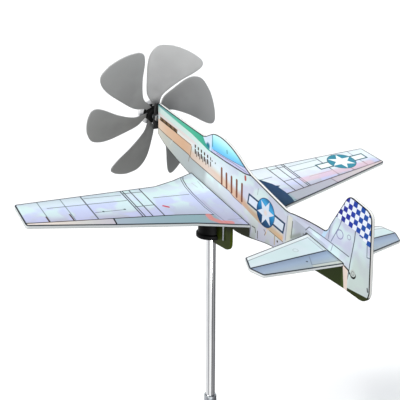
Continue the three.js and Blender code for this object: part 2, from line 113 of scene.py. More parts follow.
# ---- outlines: rows of (x, y) ----
def corners(points, steps=6, closed=True):
    """Straight runs between points (x, y, radius), each corner rounded by a quadratic arc:
    (1-t)^2 start + 2t(1-t) corner + t^2 end, where start and end lie back along the runs by
    radius / tan(half the corner's angle)."""
    rows = []
    count = len(points)
    for i, (x, y, *radius) in enumerate(points):
        here = np.array([x, y], float)
        inner = closed or 0 < i < count - 1
        if not radius or not inner:
            rows.append(here[None])
            continue
        back = np.array(points[i - 1][:2]) - here
        on = np.array(points[(i + 1) % count][:2]) - here
        back, on = back / np.linalg.norm(back), on / np.linalg.norm(on)
        reach = radius[0] / math.tan(math.acos(np.clip(back @ on, -1, 1)) / 2)
        t = np.linspace(0, 1, steps + 1)[:, None]
        start, end = here + back * reach, here + on * reach
        rows.append((1 - t) ** 2 * start + 2 * t * (1 - t) * here + t**2 * end)
    return np.concatenate(rows)


def bend(*controls, steps=12):
    """A Bezier curve of two, three or four control points, the sum of
    C(n, k) (1-t)^(n-k) t^k point k, without its first point, so that runs join up."""
    t = np.linspace(0, 1, steps + 1)[1:, None]
    order = len(controls) - 1
    return sum(
        math.comb(order, k) * (1 - t) ** (order - k) * t**k * np.array(point, float)
        for k, point in enumerate(controls)
    )


def circle(centre, radius, steps=20):
    """Points round a circle, clockwise, as a hole's outline is: centre + radius (cos a, sin a)."""
    turn = -np.linspace(0, 2 * math.pi, steps, endpoint=False)
    return np.array(centre) + radius * np.stack([np.cos(turn), np.sin(turn)], -1)


def box_outline(x0, x1, y0, y1, radius=0.8, hole=False):
    """A rounded rectangle, anticlockwise, or clockwise as a hole."""
    rows = corners([(x0, y0, radius), (x1, y0, radius), (x1, y1, radius), (x0, y1, radius)], 3)
    return rows[::-1] if hole else rows


# ---- surfaces ----
class Shell:
    """Points, faces, which faces are flat, and at each point the edge value that print reads."""

    def __init__(self, points, faces, flat=(), edge=None):
        self.points = points
        self.faces = [list(face) for face in faces]
        self.flat = set(flat)
        self.edge = np.ones(len(points)) if edge is None else edge

    def placed(self, *moves):
        """The same faces with the points moved by each function in turn."""
        points = self.points
        for move in moves:
            points = move(points)
        return Shell(points, self.faces, self.flat, self.edge)


def grid(surface, wrap_rows=False, wrap_columns=False):
    """Four-sided faces over an array of points, rows by columns, closed round either way."""
    rows, columns = surface.shape[:2]
    i = np.arange(rows if wrap_rows else rows - 1)[:, None]
    j = np.arange(columns if wrap_columns else columns - 1)[None]
    on, over = (i + 1) % rows, (j + 1) % columns
    faces = np.stack([i * columns + j, i * columns + over, on * columns + over, on * columns + j], -1)
    return Shell(surface.reshape(-1, 3), faces.reshape(-1, 4).tolist())


def turned(profile, segments=72, shape=None):
    """A profile of (radius, height) carried round Z: x = r cos a, y = r sin a.
    shape(r, z, a), where given, gives the radius instead."""
    profile = np.asarray(profile, float)
    a = np.linspace(0, 2 * math.pi, segments, endpoint=False)[None]
    r, z = profile[:, :1], profile[:, 1:]
    radius = r + 0 * a if shape is None else shape(r, z, a)
    return grid(np.stack([radius * np.cos(a), radius * np.sin(a), z + 0 * a], -1), wrap_columns=True)


def hexagon(a):
    """How far a unit hexagon's side is at angle a: 1 / cos of the angle from the side's middle."""
    return 1 / np.cos((a + math.pi / 6) % (math.pi / 3) - math.pi / 6)


PRINT_LINE = 0.9  # width of the line printed round a board's edge
BARE_CLIMB = 0.35  # how far past the rounded edge a board's side turns bare


def board(outline, low, high, holes=(), round_over=0.3, line=PRINT_LINE):
    """A plate between two heights. Its rim is one profile carried round the outline: inset by
    round_over (1 - sin a) while it climbs round_over (1 - cos a), then straight up, and the same
    again to the top. The edge value is -1 on the middle of the side, 0 on the rounded edge and 1
    from the printed line inwards."""
    quarter = np.linspace(0, math.pi / 2, 4)
    inset = [line, *(round_over * (1 - np.sin(quarter))), 0]
    bare = min(round_over + BARE_CLIMB, (high - low) / 2.2)
    climb = [0, *(round_over * (1 - np.cos(quarter))), bare]
    value = [1, *([0] * len(quarter)), -1]
    inset, value = np.array(inset + inset[::-1]), np.array(value + value[::-1], float)
    height = np.array([low + c for c in climb] + [high - c for c in climb[::-1]])
    shells, rings = [], []
    for ring in [outline, *holes]:
        before, after = ring - np.roll(ring, 1, 0), np.roll(ring, -1, 0) - ring
        sides = [d / np.linalg.norm(d, axis=1, keepdims=True) for d in (before, after)]
        left = [np.stack([-d[:, 1], d[:, 0]], -1) for d in sides]
        inward = (left[0] + left[1]) / (1 + np.sum(left[0] * left[1], 1, keepdims=True))
        flat = ring[None] + inward[None] * inset[:, None, None]
        lift = np.broadcast_to(height[:, None, None], (*flat.shape[:2], 1))
        rim = grid(np.concatenate([flat, lift], -1), wrap_columns=True)
        rim.edge = np.repeat(value, len(ring))
        shells.append(rim)
        rings.append(flat[0])
    loops = [[Vector((x, y, 0)) for x, y in ring] for ring in rings]
    triangles = [list(t) for t in tessellate_polygon(loops)]
    face = np.concatenate(rings)
    for level in (low, high):
        cap = np.concatenate([face, np.full((len(face), 1), float(level))], 1)
        shells.append(Shell(cap, triangles, range(len(triangles))))
    return together(shells)


def block(low, high):
    """A plain box between two corners, as a cutting tool."""
    share = np.array([[i & 1, i >> 1 & 1, i >> 2] for i in range(8)])
    faces = [(0, 2, 3, 1), (4, 5, 7, 6), (0, 1, 5, 4), (2, 6, 7, 3), (0, 4, 6, 2), (1, 3, 7, 5)]
    return Shell(np.where(share, high, low).astype(float), faces)


def prism(outline, low, high):
    """A flat outline of (y, z) carried straight along X from low to high, as a cutting tool."""
    count = len(outline)
    points = [(x, y, z) for x in (low, high) for y, z in outline]
    sides = [(i, (i + 1) % count, (i + 1) % count + count, i + count) for i in range(count)]
    ends = [range(count - 1, -1, -1), range(count, 2 * count)]
    return Shell(np.array(points, float), [*ends, *sides])


def together(shells):
    """Several shells as one: their points end to end, and their faces renumbered to match."""
    start, faces, flat = 0, [], set()
    for shell in shells:
        flat |= {len(faces) + f for f in shell.flat}
        faces += [[v + start for v in face] for face in shell.faces]
        start += len(shell.points)
    points = np.concatenate([shell.points for shell in shells])
    return Shell(points, faces, flat, np.concatenate([shell.edge for shell in shells]))


RIM_SHARES = np.array([0, 0.06, 0.25, 0.55, 1.0])  # rows across a slab's rounded rim


def slab(middle, normal, reach, thick, round_over, rows=40, columns=20):
    """A curved plate over a grid. middle(s, t) is its middle surface and normal its through
    direction. Its half thickness at a distance d in from the rim is
    thick / 2 * sqrt(1 - (1 - d / round_over)^2), and full past round_over.
    reach is the plate's (length, width), which turns s and t into distances."""
    def spread(length, count):
        close = RIM_SHARES * round_over / length
        inner = np.linspace(close[-1], 1 - close[-1], count)
        return np.concatenate([close[:-1], inner, 1 - close[:-1][::-1]])

    s, t = np.meshgrid(spread(reach[0], rows), spread(reach[1], columns), indexing="ij")
    d = np.minimum(np.minimum(s, 1 - s) * reach[0], np.minimum(t, 1 - t) * reach[1])
    half = thick / 2 * np.sqrt(np.clip(1 - (1 - np.minimum(d / round_over, 1)) ** 2, 0, 1))[..., None]
    centre = middle(s, t)
    return together([grid(centre + side * half * normal) for side in (-1, 1)])


# ---- pieces ----
WELD = 2e-6  # points nearer to each other than this, in metres, are one point
CREASE = 40  # degrees past which an edge stays sharp


def weld(mesh):
    """Merges doubled points and turns every face outwards."""
    work = bmesh.new()
    work.from_mesh(mesh)
    bmesh.ops.remove_doubles(work, verts=work.verts, dist=WELD)
    bmesh.ops.recalc_face_normals(work, faces=work.faces)
    work.to_mesh(mesh)
    work.free()


def add_object(name, data):
    """A new object in the scene, at the origin."""
    made = bpy.data.objects.new(name, data)
    bpy.context.scene.collection.objects.link(made)
    return made


def piece(name, shell, body, nodes, slot, place=aeroplane, crease=CREASE, finish=None):
    """One closed piece with its place in its mesh. It stands for CAD nodes, rides on a body and
    has the finish that its slot names, unless another is given."""
    mesh = bpy.data.meshes.new(name)
    mesh.from_pydata(place(shell.points).tolist(), [], shell.faces)
    edge = mesh.attributes.new("edge", "FLOAT", "POINT")
    edge.data.foreach_set("value", shell.edge.astype(np.float32))
    smooth = [i not in shell.flat for i in range(len(mesh.polygons))]
    mesh.polygons.foreach_set("use_smooth", smooth)
    weld(mesh)
    mesh.set_sharp_from_angle(angle=math.radians(crease))
    mesh.materials.append(FINISHES[finish or slot])
    made = add_object(name, mesh)
    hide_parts(*nodes)
    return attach(made, body)


def cut_away(made, tools):
    """Takes the tools' solids out of a piece, and leaves the result as its mesh."""
    cutters = []
    for shell in tools:
        mesh = bpy.data.meshes.new("tool")
        mesh.from_pydata(shell.points.tolist(), [], shell.faces)
        weld(mesh)
        cutter = add_object("tool", mesh)
        cutters.append(cutter)
        modifier = made.modifiers.new("cut", "BOOLEAN")
        modifier.operation = "DIFFERENCE"
        modifier.solver = "EXACT"
        modifier.object = cutter
    bpy.context.view_layer.update()
    evaluated = made.evaluated_get(bpy.context.evaluated_depsgraph_get())
    whole = bpy.data.meshes.new_from_object(evaluated)
    made.modifiers.clear()
    made.data = whole
    whole.set_sharp_from_angle(angle=math.radians(CREASE))
    for cutter in cutters:
        bpy.data.objects.remove(cutter)


# ---- paint: node trees built from fields, numbers that vary over a surface ----
def paint(code):
    """A colour chip such as '#4bb394' as linear red, green, blue and 1."""
    parts = [int(code[i:i + 2], 16) / 255 for i in (1, 3, 5)]
    return [*(p / 12.92 if p <= 0.04045 else ((p + 0.055) / 1.055) ** 2.4 for p in parts), 1]


class Field:
    """A number over a surface. Arithmetic on it adds math nodes to its tree."""

    def __init__(self, tree, socket):
        self.tree, self.socket = tree, socket

    def node(self, kind, values, **settings):
        """Adds a node whose inputs are numbers or fields, and gives its first output as a field."""
        node = self.tree.nodes.new(kind)
        for name, value in settings.items():
            setattr(node, name, value)
        for i, value in enumerate([self, *values]):
            if isinstance(value, Field):
                self.tree.links.new(value.socket, node.inputs[i])
            else:
                node.inputs[i].default_value = value
        return Field(self.tree, node.outputs[0])

    def op(self, operation, *others):
        """One math operation on the field."""
        return self.node("ShaderNodeMath", others, operation=operation)

    def clamped(self):
        """Held between 0 and 1."""
        return self.node("ShaderNodeClamp", (0.0, 1.0))

    def step(self, low, high, start, end):
        """A smooth step from start to end while the field goes from low to high."""
        settings = {"interpolation_type": "SMOOTHSTEP", "clamp": False}
        return self.node("ShaderNodeMapRange", (low, high, start, end), **settings)

    def __add__(self, other):
        return self.op("ADD", other)

    def __sub__(self, other):
        return self.op("SUBTRACT", other)

    def __mul__(self, other):
        return self.op("MULTIPLY", other)

    def size(self):
        """Without its sign."""
        return self.op("ABSOLUTE")

    def over(self, limit, soft=0.3):
        """1 where the field is more than limit, with a soft step."""
        if isinstance(limit, Field):
            return (self - limit).over(0, soft)
        return self.step(limit - soft / 2, limit + soft / 2, 0.0, 1.0)

    def under(self, limit, soft=0.3):
        """1 where the field is less than limit, with a soft step."""
        if isinstance(limit, Field):
            return (self - limit).under(0, soft)
        return self.step(limit - soft / 2, limit + soft / 2, 1.0, 0.0)

    def between(self, low, high, soft=0.3):
        """1 from low to high."""
        if isinstance(low, Field) or isinstance(high, Field):
            return self.over(low, soft) * self.under(high, soft)
        return (self - (low + high) / 2).size().under((high - low) / 2, soft)

    def near(self, value, width, soft=0.3):
        """1 within half a width of a value."""
        return (self - value).size().under(width / 2, soft)

    def or_(self, other):
        """The larger of two masks."""
        return self.op("MAXIMUM", other)

    def repeat(self, pitch):
        """The distance past the last whole pitch."""
        return self.op("FLOORED_MODULO", pitch)

    def cell(self, start, pitch):
        """The number of whole pitches past a start."""
        return (self - start).op("MULTIPLY", 1 / pitch).op("FLOOR")


CURVE_REACH = 100  # millimetres that a curve node's full height stands for


class Paint:
    """A node tree under construction, and the colour in it that inks are laid over."""

    def __init__(self, tree, base):
        self.tree, self.base, self.colour = tree, base, None

    def field(self, socket):
        """A socket of the tree as a field."""
        return Field(self.tree, socket)

    def split(self, vector):
        """The three parts of a vector, as fields."""
        node = self.tree.nodes.new("ShaderNodeSeparateXYZ")
        self.tree.links.new(vector, node.inputs[0])
        return [self.field(socket) for socket in node.outputs]

    def ramp(self, field, low, high, chips):
        """A run of colours along a field, from (value, chip) pairs."""
        share = (field - low) * (1 / (high - low))
        node = self.tree.nodes.new("ShaderNodeValToRGB")
        stops = node.color_ramp.elements
        while len(stops) < len(chips):
            stops.new(0.5)
        for stop, (value, chip) in zip(stops, chips):
            stop.position = (value - low) / (high - low)
            stop.color = paint(chip)
        self.tree.links.new(share.socket, node.inputs[0])
        return node.outputs[0]

    def curve(self, field, points):
        """Straight runs through points: the second number as a function of the first. The curve
        node holds it as a share of CURVE_REACH."""
        low, high = points[0][0], points[-1][0]
        share = ((field - low) * (1 / (high - low))).clamped()
        node = self.tree.nodes.new("ShaderNodeFloatCurve")
        mapping = node.mapping
        mapping.use_clip = False
        spots = mapping.curves[0].points
        while len(spots) < len(points):
            spots.new(0.5, 0.5)
        for spot, (x, y) in zip(spots, points):
            spot.location = ((x - low) / (high - low), y / CURVE_REACH)
            spot.handle_type = "VECTOR"
        mapping.update()
        self.tree.links.new(share.socket, node.inputs["Value"])
        return self.field(node.outputs[0]) * CURVE_REACH

    def cover(self, run):
        """Lays a run of colours over the whole surface."""
        self.colour = run

    def lay(self, ink, mask, strength=1.0):
        """Lays an ink, a chip or a run of colours, over what is there, where the mask is 1."""
        cover = mask if strength == 1 else mask * strength
        node = self.tree.nodes.new("ShaderNodeMix")
        node.data_type = "RGBA"
        factor, under, over = (node.inputs[i] for i in (0, 6, 7))
        self.tree.links.new(cover.socket, factor)
        if self.colour is None:
            under.default_value = paint(self.base)
        else:
            self.tree.links.new(self.colour, under)
        if isinstance(ink, str):
            over.default_value = paint(ink)
        else:
            self.tree.links.new(ink, over)
        self.colour = node.outputs[2]


class Finish(Paint):
    """A material under construction: one principled surface, patterned over the object's place."""

    def __init__(self, name, base, roughness=0.45, metallic=0.0, coat=0.0):
        self.material = bpy.data.materials.new(name)
        self.material.use_nodes = True
        super().__init__(self.material.node_tree, base)
        self.surface = self.tree.nodes["Principled BSDF"]
        for socket, value in (
            ("Metallic", metallic), ("Roughness", roughness), ("Coat Weight", coat),
            ("Coat Roughness", 0.12), ("Base Color", paint(base)),
        ):
            self.surface.inputs[socket].default_value = value
        self.place = self.tree.nodes.new("ShaderNodeTexCoord").outputs["Object"]

    def mapped(self, rotation=(0, 0, 0), location=(0, 0, 0), scale=1 / MM):
        """Object coordinates scaled to millimetres, turned, then moved."""
        node = self.tree.nodes.new("ShaderNodeMapping")
        node.inputs["Rotation"].default_value = rotation
        node.inputs["Location"].default_value = location
        node.inputs["Scale"].default_value = scale if hasattr(scale, "__len__") else (scale,) * 3
        self.tree.links.new(self.place, node.inputs["Vector"])
        return node.outputs[0]

    def in_aeroplane(self):
        """x, y and z in the aeroplane's own frame, in millimetres."""
        self.vector = self.mapped((NOSE_UP, 0, 0), tuple(-(TILT.T @ DATUM)))
        return self.split(self.vector)

    def noise(self, scale, detail=3.0, vector=None, stretch=None):
        """Fractal noise from 0 to 1, scale in features per metre, or per unit of a given vector."""
        if stretch is not None:
            vector = self.mapped(scale=stretch)
        node = self.tree.nodes.new("ShaderNodeTexNoise")
        node.inputs["Scale"].default_value = scale
        node.inputs["Detail"].default_value = detail
        self.tree.links.new(vector or self.place, node.inputs["Vector"])
        return self.field(node.outputs["Fac"])

    def finish(self, bump=None, depth=0.1, roughness=None):
        """Joins the colour, a bump field with its depth in millimetres, and a roughness field
        to the surface."""
        if self.colour is not None:
            self.tree.links.new(self.colour, self.surface.inputs["Base Color"])
        if roughness is not None:
            self.tree.links.new(roughness.socket, self.surface.inputs["Roughness"])
        if bump is not None:
            node = self.tree.nodes.new("ShaderNodeBump")
            node.inputs["Distance"].default_value = depth * MM
            self.tree.links.new(bump.socket, node.inputs["Height"])
            self.tree.links.new(node.outputs[0], self.surface.inputs["Normal"])
        return self.material


class Artwork(Finish):
    """Print on a board, drawn in two of the aeroplane's directions, in millimetres."""

    def __init__(self, name, base, first, second):
        super().__init__(name, base, coat=0.02)
        self.surface.inputs["Specular IOR Level"].default_value = 0.12
        axes = self.in_aeroplane()
        self.a, self.b = axes[first], axes[second]
        self.first, self.second = first, second
        flat = self.tree.nodes.new("ShaderNodeVectorMath")
        flat.operation = "MULTIPLY"
        flat.inputs[1].default_value = [1.0 if i in (first, second) else 0.0 for i in range(3)]
        self.tree.links.new(self.vector, flat.inputs[0])
        self.spot = flat.outputs[0]

    def at(self, point):
        """A drawn point as a vector with nothing in the third direction."""
        place = [0.0, 0.0, 0.0]
        place[self.first], place[self.second] = point
        return Vector(place)

    def vector_op(self, operation, first, second, out=0):
        """One vector operation on sockets or vectors. Output 1 is its number."""
        node = self.tree.nodes.new("ShaderNodeVectorMath")
        node.operation = operation
        for i, value in enumerate((first, second)):
            if isinstance(value, Vector):
                node.inputs[i].default_value = value
            else:
                self.tree.links.new(value, node.inputs[i])
        return node.outputs[out]

    def distance(self, point):
        """How far the surface is from a drawn point."""
        return self.field(self.vector_op("DISTANCE", self.spot, self.at(point), out=1))

    def stroke(self, start, end, width, soft=0.3):
        """1 on a line with round ends: near start + h (end - start), where h is the share
        along the line, held between 0 and 1."""
        run = self.at(end) - self.at(start)
        away = self.vector_op("SUBTRACT", self.spot, self.at(start))
        along = self.field(self.vector_op("DOT_PRODUCT", away, run, out=1))
        share = (along * (1 / run.length_squared)).clamped()
        scaled = self.tree.nodes.new("ShaderNodeVectorMath")
        scaled.operation = "SCALE"
        scaled.inputs[0].default_value = run
        self.tree.links.new(share.socket, scaled.inputs["Scale"])
        gap = self.field(self.vector_op("DISTANCE", away, scaled.outputs[0], out=1))
        return gap.under(width / 2, soft)

    def run(self, points, width, soft=0.3):
        """1 on strokes joined end to end."""
        mask = None
        for start, end in zip(points, points[1:]):
            mark = self.stroke(start, end, width, soft)
            mask = mark if mask is None else mask.or_(mark)
        return mask

    def pair_run(self, points, width):
        """A run of strokes and its mirror image."""
        other = [(-a, b) for a, b in points]
        return self.run(points, width).or_(self.run(other, width))

    def pen(self, rows):
        """Draws lines one after another, from rows of ink, width, points and a strength below 1."""
        for ink, width, points, *strength in rows:
            self.lay(ink, self.run(points, width), *strength)

    def disc(self, centre, radius, soft=0.4):
        """1 inside a circle."""
        return self.distance(centre).under(radius, soft)

    def ring(self, centre, radius, width, soft=0.3):
        """1 on a circle's line."""
        return self.distance(centre).near(radius, width, soft)

    def box(self, centre, half, soft=0.4):
        """1 in an upright box of half sizes."""
        across = (self.a - centre[0]).size().under(half[0], soft)
        return across * (self.b - centre[1]).size().under(half[1], soft)

    def star(self, centre, tip, notch, points=6, turn=0.0):
        """1 inside a star. The angle is folded on to one half point, where the star's side is a
        straight line at a fixed distance from the centre along its normal."""
        step = 2 * math.pi / points
        away_a, away_b = self.a - centre[0], self.b - centre[1]
        angle = away_b.op("ARCTAN2", away_a) - turn
        fold = (angle.repeat(step) - step / 2).size() * -1 + step / 2
        side = np.array([notch * math.cos(step / 2) - tip, notch * math.sin(step / 2)])
        normal = np.array([side[1], -side[0]]) / np.linalg.norm(side)
        lean = math.atan2(normal[1], normal[0])
        return ((fold - lean).op("COSINE") * self.distance(centre)).under(tip * normal[0], 0.4)

    def emblem(self, centre, radius, bar_half, bar_end, disc_ink, line, fill):
        """A disc with a plain six-point pinwheel star and an outlined panel on either side."""
        border, rim, gap = 1.9, 0.7, 1.2
        self.lay(line, self.box(centre, (bar_end, bar_half)))
        self.lay(fill, self.box(centre, (bar_end - border, bar_half - border)))
        self.lay(line, self.disc(centre, radius))
        self.lay(disc_ink, self.disc(centre, radius - rim))
        self.lay(fill, self.star(centre, radius - gap, radius * 0.42, turn=0.3))

    def edges(self, line, core="#e9e9e6"):
        """The printed line round the board and the bare board on its side. On a wing, the line along
        the root is also painted shade, the dark gap where the wing meets the fuselage.
        """
        node = self.tree.nodes.new("ShaderNodeAttribute")
        node.attribute_name = "edge"
        value = self.field(node.outputs["Fac"])
        self.lay(line, value.under(0.9, 0.15))
        self.lay(core, value.under(-0.35, 0.3))

    def satin(self):
        """The gloss of a printed board: slightly uneven, with a fine grain."""
        sheen = self.noise(90, 2).op("MULTIPLY_ADD", 0.16, 0.32)
        return self.finish(self.noise(900, 2), 0.02, sheen)


# ---- the artwork ----
BELLY_LINE = [
    (-7, -4.3), (20, -5.4), (68, -5.5), (75, -7), (148, -7.3), (156, -9), (172, -9.6), (200, -12.6),
    (238, -11.4),
]
PEACH_TOP = [
    (-7, 6.0), (71, 6.6), (73, 4.6), (118, 4.4), (140, 3.6), (165, 1.8), (185, -2.6), (238, -3.4),
]
TEAL_LOW = [(-7, 20.2), (3, 19.6), (36, 18.9), (69, 18.8), (91, 16.9), (103, 15.6), (110, 16.4)]
SILL = [(90, 26.2), (94, 22.5), (101, 18.2), (108, 16.6), (136, 18.4), (168, 21.7), (180, 25.0)]
RAIL = [(90, 30.0), (111, 20.2), (135, 22.5), (159, 25.9), (171, 28.0), (180, 28.6)]


def fuselage_art():
    """The side view printed on the fuselage board, drawn in y (aft) and z (up), with painted shadows
    under the wing and the tailplane.
    """
    art = Artwork("fuselage_artwork", "#d3dde3", 1, 2)
    y, z = art.a, art.b
    body = art.ramp(z, -45, 72, [
        (-45, "#868d8f"), (-28, "#a9b1b3"), (-18, "#c3cacb"), (-6, "#d2dadc"), (6, "#dde6ea"),
        (16, "#d3e0e8"), (24, "#c6cfdc"), (34, "#d2dbea"), (45, "#cdd8e6"), (70, "#dcdff0"),
    ])
    art.cover(body)
    cloud = art.noise(0.045, 2, art.vector)
    art.lay("#c2bfdc", cloud.between(0.5, 0.75, 0.12) * y.over(150, 40), 0.55)
    art.lay("#d5efe9", cloud.between(0.28, 0.45, 0.12) * z.over(-12, 8), 0.5)
    art.lay("#c5d2cf", y.over(322, 4) * z.under(28, 18), 0.75)
    fuselage_bands(art, y, z)
    fuselage_canopy(art, y, z)
    fuselage_marks(art, y, z)
    fuselage_panels(art, y, z)
    fuselage_tail(art, y, z)
    art.edges("#101114")
    fuselage_painted_shadows(art, y, z)
    return art.satin()


def fuselage_bands(art, y, z):
    """The lower cowling, the peach band, the exhaust, the pale stripe and the teal nose panel."""
    low, top = art.curve(y, BELLY_LINE), art.curve(y, PEACH_TOP)
    cowl = art.ramp(y, -5, 110, [
        (-5, "#dcd8cf"), (14, "#cfd0c9"), (40, "#c0c8c8"), (70, "#b6bec2"), (100, "#aab2b4"),
    ])
    art.lay(cowl, z.under(low) * y.under(104, 8))
    art.lay("#abb3b6", (z + y * 0.05).under(-20, 5) * y.under(104, 8), 0.5)
    peach = art.ramp(y, -5, 240, [
        (-5, "#ecd6c6"), (20, "#e3c1a6"), (55, "#dcb494"), (71, "#d8b79d"), (74, "#d9c5b7"),
        (112, "#d9c6ba"), (140, "#dfc2a8"), (168, "#cfa98f"), (190, "#c1aa91"), (222, "#cbb59a"),
        (238, "#e0b489"),
    ])
    fade = ((top - z) * 0.2).clamped()
    sharp = (top - z).over(0, 0.4) * y.under(72, 1)
    art.lay(peach, z.over(low) * sharp.or_(fade) * y.under(237, 3))
    art.lay("#e9dcda", z.between(10, 13.6, 1.5) * y.under(80, 20), 0.8)
    art.lay("#f3ece6", z.between(6.6, 9.5, 1.5) * y.between(41, 74, 2), 0.7)
    ink = art.ramp(y, 0, 175, [
        (0, "#8d8375"), (30, "#6b5a45"), (70, "#5d4a38"), (110, "#4e443e"), (175, "#8d8078"),
    ])
    art.lay(ink, z.near(low, 0.9) * y.under(171, 1))
    art.lay("#7a4f3a", z.near(top, 0.8) * y.between(38, 71, 1))
    art.lay("#7b6048", art.run([(72.3, 5.4), (71.3, -5.1), (69.7, -8.3), (69.6, -12.6)], 0.8))
    art.lay("#d5dcd9", art.run([(32.4, -5.6), (29, -11.1)], 1.6, 1.5), 0.7)
    exhaust = (z - y * 0.02).between(5.5, 9.7) * y.between(1.6, 40.6, 0.6)
    art.lay("#7d6247", exhaust)
    art.lay("#33200f", exhaust * (y + z * 0.6).repeat(9.5).under(4.6, 2.5), 0.75)
    art.lay("#2c1b0d", exhaust * (z - y * 0.02).under(6.6, 0.6))
    teal_edge = art.curve(y, TEAL_LOW)
    art.lay("#d3ebe6", z.over(13.4, 1.6) * z.under(teal_edge) * y.under(118, 12))
    teal = art.ramp(y, -6, 108, [
        (-6, "#5f8f96"), (14, "#6ea8a8"), (34, "#63bfa8"), (60, "#55bd9d"), (88, "#47b193"),
        (102, "#2f9a90"),
    ])
    art.lay(teal, z.over(teal_edge) * y.under(112, 1))
    art.lay("#a9d9d4", z.near(teal_edge, 1.2, 0.8) * y.under(40, 20), 0.6)


def fuselage_canopy(art, y, z):
    """The sliding canopy, its windscreen, frame and rail."""
    sill, rail = art.curve(y, SILL), art.curve(y, RAIL)
    inside = z.over(sill) * y.between(90, 178, 1)
    rise = (z - sill) * (1 / 19)
    glass = art.ramp(rise, 0, 1, [
        (0, "#5fb4dd"), (0.3, "#72c6f2"), (0.55, "#92e2f4"), (0.8, "#b8f5f7"), (1, "#d2fbff"),
    ])
    art.lay(glass, inside)
    art.lay("#8fb9cf", inside * y.over(158, 18), 0.6)
    art.lay("#d6e6f8", inside * (y + z * 0.12).under(110.6, 0.8))
    art.lay("#14788c", art.distance((101.5, 19.6)).under(3.6, 3) * inside)
    art.pen([
        ("#4a7f9a", 1.3, [(106.6, 34.6), (108.6, 27.9), (109.6, 23)]),
        ("#1b6f8f", 1.2, [(134.6, 30), (135.7, 27.4)]),
    ])
    art.lay("#c8c8e8", inside * z.under(rail) * y.over(109, 3))
    art.lay("#4f6f9a", z.near(rail, 0.6) * y.between(112, 172, 1))
    art.lay("#6b7396", art.run([(117.8, 19.4), (146.5, 22.7), (170.6, 24.2)], 0.6))
    art.lay("#15171c", z.near(sill, 1.2) * y.between(107, 179, 1))


def fuselage_marks(art, y, z):
    """Tally dashes, four plain slanted bars, a red drop and the side emblem."""
    lean = y + z * 0.22
    step = (lean - 79.6).repeat(6.15)
    tall = z.between(1.2, 6.2).or_(z.between(7.4, 10.6))
    art.lay("#3a2015", step.under(2.5) * tall * lean.between(79.4, 112, 0.4))
    low_dash = step.between(3.2, 4.9) * z.between(-0.9, 4.9) * lean.between(79.4, 108, 0.4)
    art.lay("#4c2c1f", low_dash, 0.9)
    for spot in ((112.3, 8.2), (118.4, 8.6)):
        art.lay("#3b4a48", art.disc(spot, 0.9))
    for foot, height in ((134, 8.6), (143, 7.2), (152, 8.2), (161, 9.2), (170, 9.6)):
        art.lay("#7b4a36", art.stroke((foot - 3.6, height), (foot, -6.2), 3.0))
    art.lay("#b3564b", art.stroke((169.5, 19.2), (170.4, 16.8), 3.0))
    disc = art.ramp(z + y * 0.25, 42, 66, [
        (42, "#173f66"), (50, "#1a5a8e"), (55, "#2485c4"), (61, "#47a8df"), (66, "#2d77ad"),
    ])
    middle = (207.5, 1.4)
    art.emblem(middle, 13.9, 5.6, 28.9, disc, "#17395c", "#dce6f5")
    art.lay("#ecd9cf", art.disc(middle, 2.6, 3), 0.7)


def fuselage_panels(art, y, z):
    """Fine panel lines behind the canopy and on the belly, and a soft grey-green wedge ahead of and
    below the tailplane's root.
    """
    art.pen([
        ("#b9c4c6", 0.7, [(200.8, 21.4), (238.3, 16.9)], 0.8),
        ("#a9b8bd", 0.9, [(191.6, 18), (191.6, 12)]),
    ])
    art.lay("#dcddd0", (y + z * 0.12).between(240.4, 246.4, 0.8) * z.between(-12, 17, 1), 0.8)
    art.pen([
        ("#8f978f", 0.7, [(237.4, 15), (240.4, -7.8)]),
        ("#6d7467", 1.1, [(245.1, 13.8), (247.2, -1.5)]),
    ])
    # A soft grey-green wedge ahead of and below the tailplane's root.
    art.lay("#8b937d", art.stroke((247.6, -0.6), (257.5, 7.6), 3.4, 3), 0.8)
    art.pen([
        ("#86745f", 0.8, [(217.6, -11.6), (238, -11.3)]),
        ("#a99c82", 1.3, [(225.6, -12), (227.3, -20.4)]),
    ])
    art.lay("#3f2f28", art.disc((230.5, -15.2), 1.1))
    art.pen([
        ("#494a44", 1.0, [(191.6, -21.6), (196.4, -20.8), (198.4, -24.6)]),
        ("#55564f", 1.1, [(201, -21.8), (202.5, -28.6)]),
        ("#6a5f58", 0.9, [(209.5, -15), (212.6, -16.6), (211.8, -19.6)]),
        ("#e3c9b4", 0.9, [(213, -18.6), (214, -12)]),
    ])


